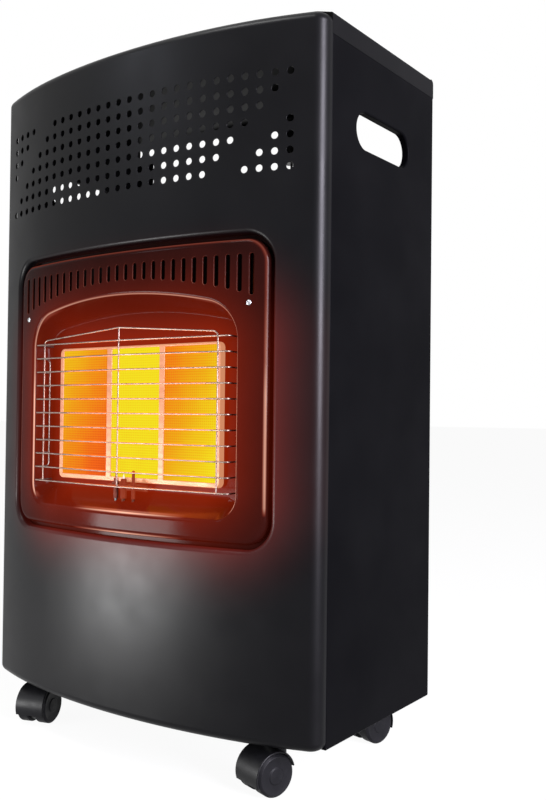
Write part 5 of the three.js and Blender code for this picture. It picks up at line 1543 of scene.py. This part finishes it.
def makeRearCover():
    shell = newShell()
    sheet = cabinet["sheet"]
    stand = rearCover["stand"] - cabinet["gap"] - sheet
    middle = (rearCover["low"] + rearCover["high"]) / 2
    halfHeight = (rearCover["high"] - rearCover["low"]) / 2
    edge = roundedStops(0, middle, rearCover["half"], halfHeight, rearCover["corner"], 8)
    fillet = 1.0
    field = shifted(edge, -sheet - fillet)
    slots = []
    for row in range(rearCover["louvreRows"]):
        for x in (-rearCover["louvreColumn"], rearCover["louvreColumn"]):
            low = rearCover["louvreLevel"] + row * rearCover["louvrePitch"]
            addLouvre(shell, x, low)
            half, height = rearCover["louvreLength"] / 2 - 2, rearCover["louvreHeight"] / 2
            slots.append((x, low + height, half, height, 1.0))
    radius = rearCover["gripHeight"] / 2
    grip = (0, rearCover["high"] - rearCover["gripFromTop"], rearCover["gripLength"] / 2, radius, radius)
    roll = 1.6
    gripStops = roundedStops(*grip, 14)
    slotStops = [roundedStops(*slot, 3) for slot in slots]

    def keep(x, z):
        if inRounded(x, z, grip[0], grip[1], grip[2] + roll, radius + roll, radius + roll):
            return False
        return not any(inRounded(x, z, *slot) for slot in slots)

    outlines = [field, shifted(gripStops, roll)] + [shifted(stops, 0) for stops in slotStops]
    addSheet(shell, outlines, [], keep, onRear)
    for stops in slotStops:
        addRim(shell, stops, [(0, 0, -1, 0), (0, sheet, -1, 0)], onRear)
    turned = roll + 2.4
    addRim(shell, gripStops, rollRow(roll, 0, 6) + [(0, turned, -1, 0)], onRear)
    addRim(shell, gripStops, [(0, turned, 0, -1), (sheet, turned, 0, -1)], onRear)
    addRim(shell, gripStops, [(sheet, turned, 1, 0), (sheet, sheet, 1, 0)], onRear)
    # The tray's edge: a fillet up from the field, the lip, and the outer wall.
    wall = [(-sheet - fillet + fillet * s, -fillet + fillet * c, -s, c) for s, c in quarterTurn(5)]
    wall += [(-sheet, -stand + 0.4, -1, 0), (-sheet + 0.3, -stand, -0.5, 0.85)]
    wall += [(-0.4, -stand, 0.3, 0.95), (0, -stand + 0.4, 1, 0.2)]
    wall += [(0, sheet - 0.3, 1, 0), (-0.3, sheet, 0.3, -0.95)]
    addRim(shell, edge, wall, onRear)
    addRim(shell, edge, [(-0.3, sheet, 0, -1), (-sheet - fillet, sheet, 0, -1)], onRear)
    rear = cabinet["back"]
    inset = rearCover["tongueInset"]
    for level in (rearCover["low"] + inset, rearCover["high"] - inset):
        for side in (-1, 1):
            x = side * rearCover["tongueX"]
            ends = (rear - 9, rear + cabinet["gap"])
            boxShell(shell, x - 4, x + 4, *ends, level - 6, level + 6, 0.6)
    makePiece("rear_cover_shell", shell, paint, "rear_cover", ["rear_cover"])


# Small fasteners, and the pilot's flame.


def makeScrews():
    places = [onPan(side * pan["screwX"], 0, pan["screwZ"]) for side in (-1, 1)]
    shell = newShell()
    for point, _, normal in places:
        addScrew(shell, point, normal, pan["screwRadius"])
    makePiece("pan_screws", shell, zinc, "cabinet", ())
    shell = newShell()
    for side in (-1, 1):
        for z in cabinet["screwLevels"]:
            place = Vector((side * cabinet["screwX"], cabinet["back"], z))
            addScrew(shell, place, Vector((0, 1, 0)), cabinet["screwRadius"])
    makePiece("cabinet_screws", shell, blackScrew, "cabinet", ())


# A pan head with a round driver recess.
def addScrew(shell, place, normal, radius):
    rise = radius * 0.42
    points = [(radius, -0.2), (radius, rise * 0.35), (radius * 0.72, rise), (radius * 0.36, rise)]
    points += [(radius * 0.3, rise * 0.3), (0.01, rise * 0.2)]
    lathe(shell, roundedProfile(points, radius * 0.12, 3), normal, place, 20)


def makeFlame():
    shell = newShell()
    tall, wide = pilot["flameHeight"], pilot["flameRadius"]
    profile = []
    for i in range(13):
        share = i / 12
        reach = wide * math.sin(math.pi * min(share * 0.9 + 0.1, 1)) * (1 - share) ** 0.35
        profile.append((max(reach, 0.02), tall * share, 1, share * 0.8))
    place = Vector((pilot["x"], cabinet["front"] + pilot["depth"], pilot["low"]))
    lathe(shell, profile, up, place, 20)
    makePiece("pilot_flame", shell, flame, "cabinet")


makeRearCover()
makeScrews()
makeFlame()
print("rear cover and fasteners made")

# CAD pieces that keep their own shape take a finish from here.
finishes = {
    "base_tray": paint,
    "heat_shield": paintedShadeSteel,
    "control_plate": galvanised,
    "gas_valve": brass,
    "valve_spindle": brass,
    "hose_tail": brass,
    "igniter_body": knobPlastic,
    "igniter_button": redPlastic,
    "control_knob": knobPlastic,
    "injector_bracket": galvanised,
    "pilot_bracket": sootyAndGlowing,
    "pilot_burner": sootyAndGlowing,
    "thermocouple": sootyAndGlowing,
    "spark_electrode": glaze,
    "pilot_tube": tarnished,
    "thermocouple_lead": tarnished,
    "ignition_lead": silicone,
}
for side in ("left", "centre", "right"):
    finishes["burner_box_" + side] = tintedAndGlowing
    finishes["injector_" + side] = brass
    finishes["supply_tube_" + side] = copper
for castorName in castor["turns"]:
    finishes["castor_%s_socket" % castorName] = zinc
    finishes["castor_%s_axle" % castorName] = zinc
for nodeName, finish in finishes.items():
    node = bpy.data.objects.get(nodeName)
    if node and not node.hide_render:
        for materialSlot in node.material_slots:
            materialSlot.material = finish
print("finishes set")

# Lights.

for lampName, lamp in lamps.items():
    makeLamp(lampName, lamp)
print("lights made")
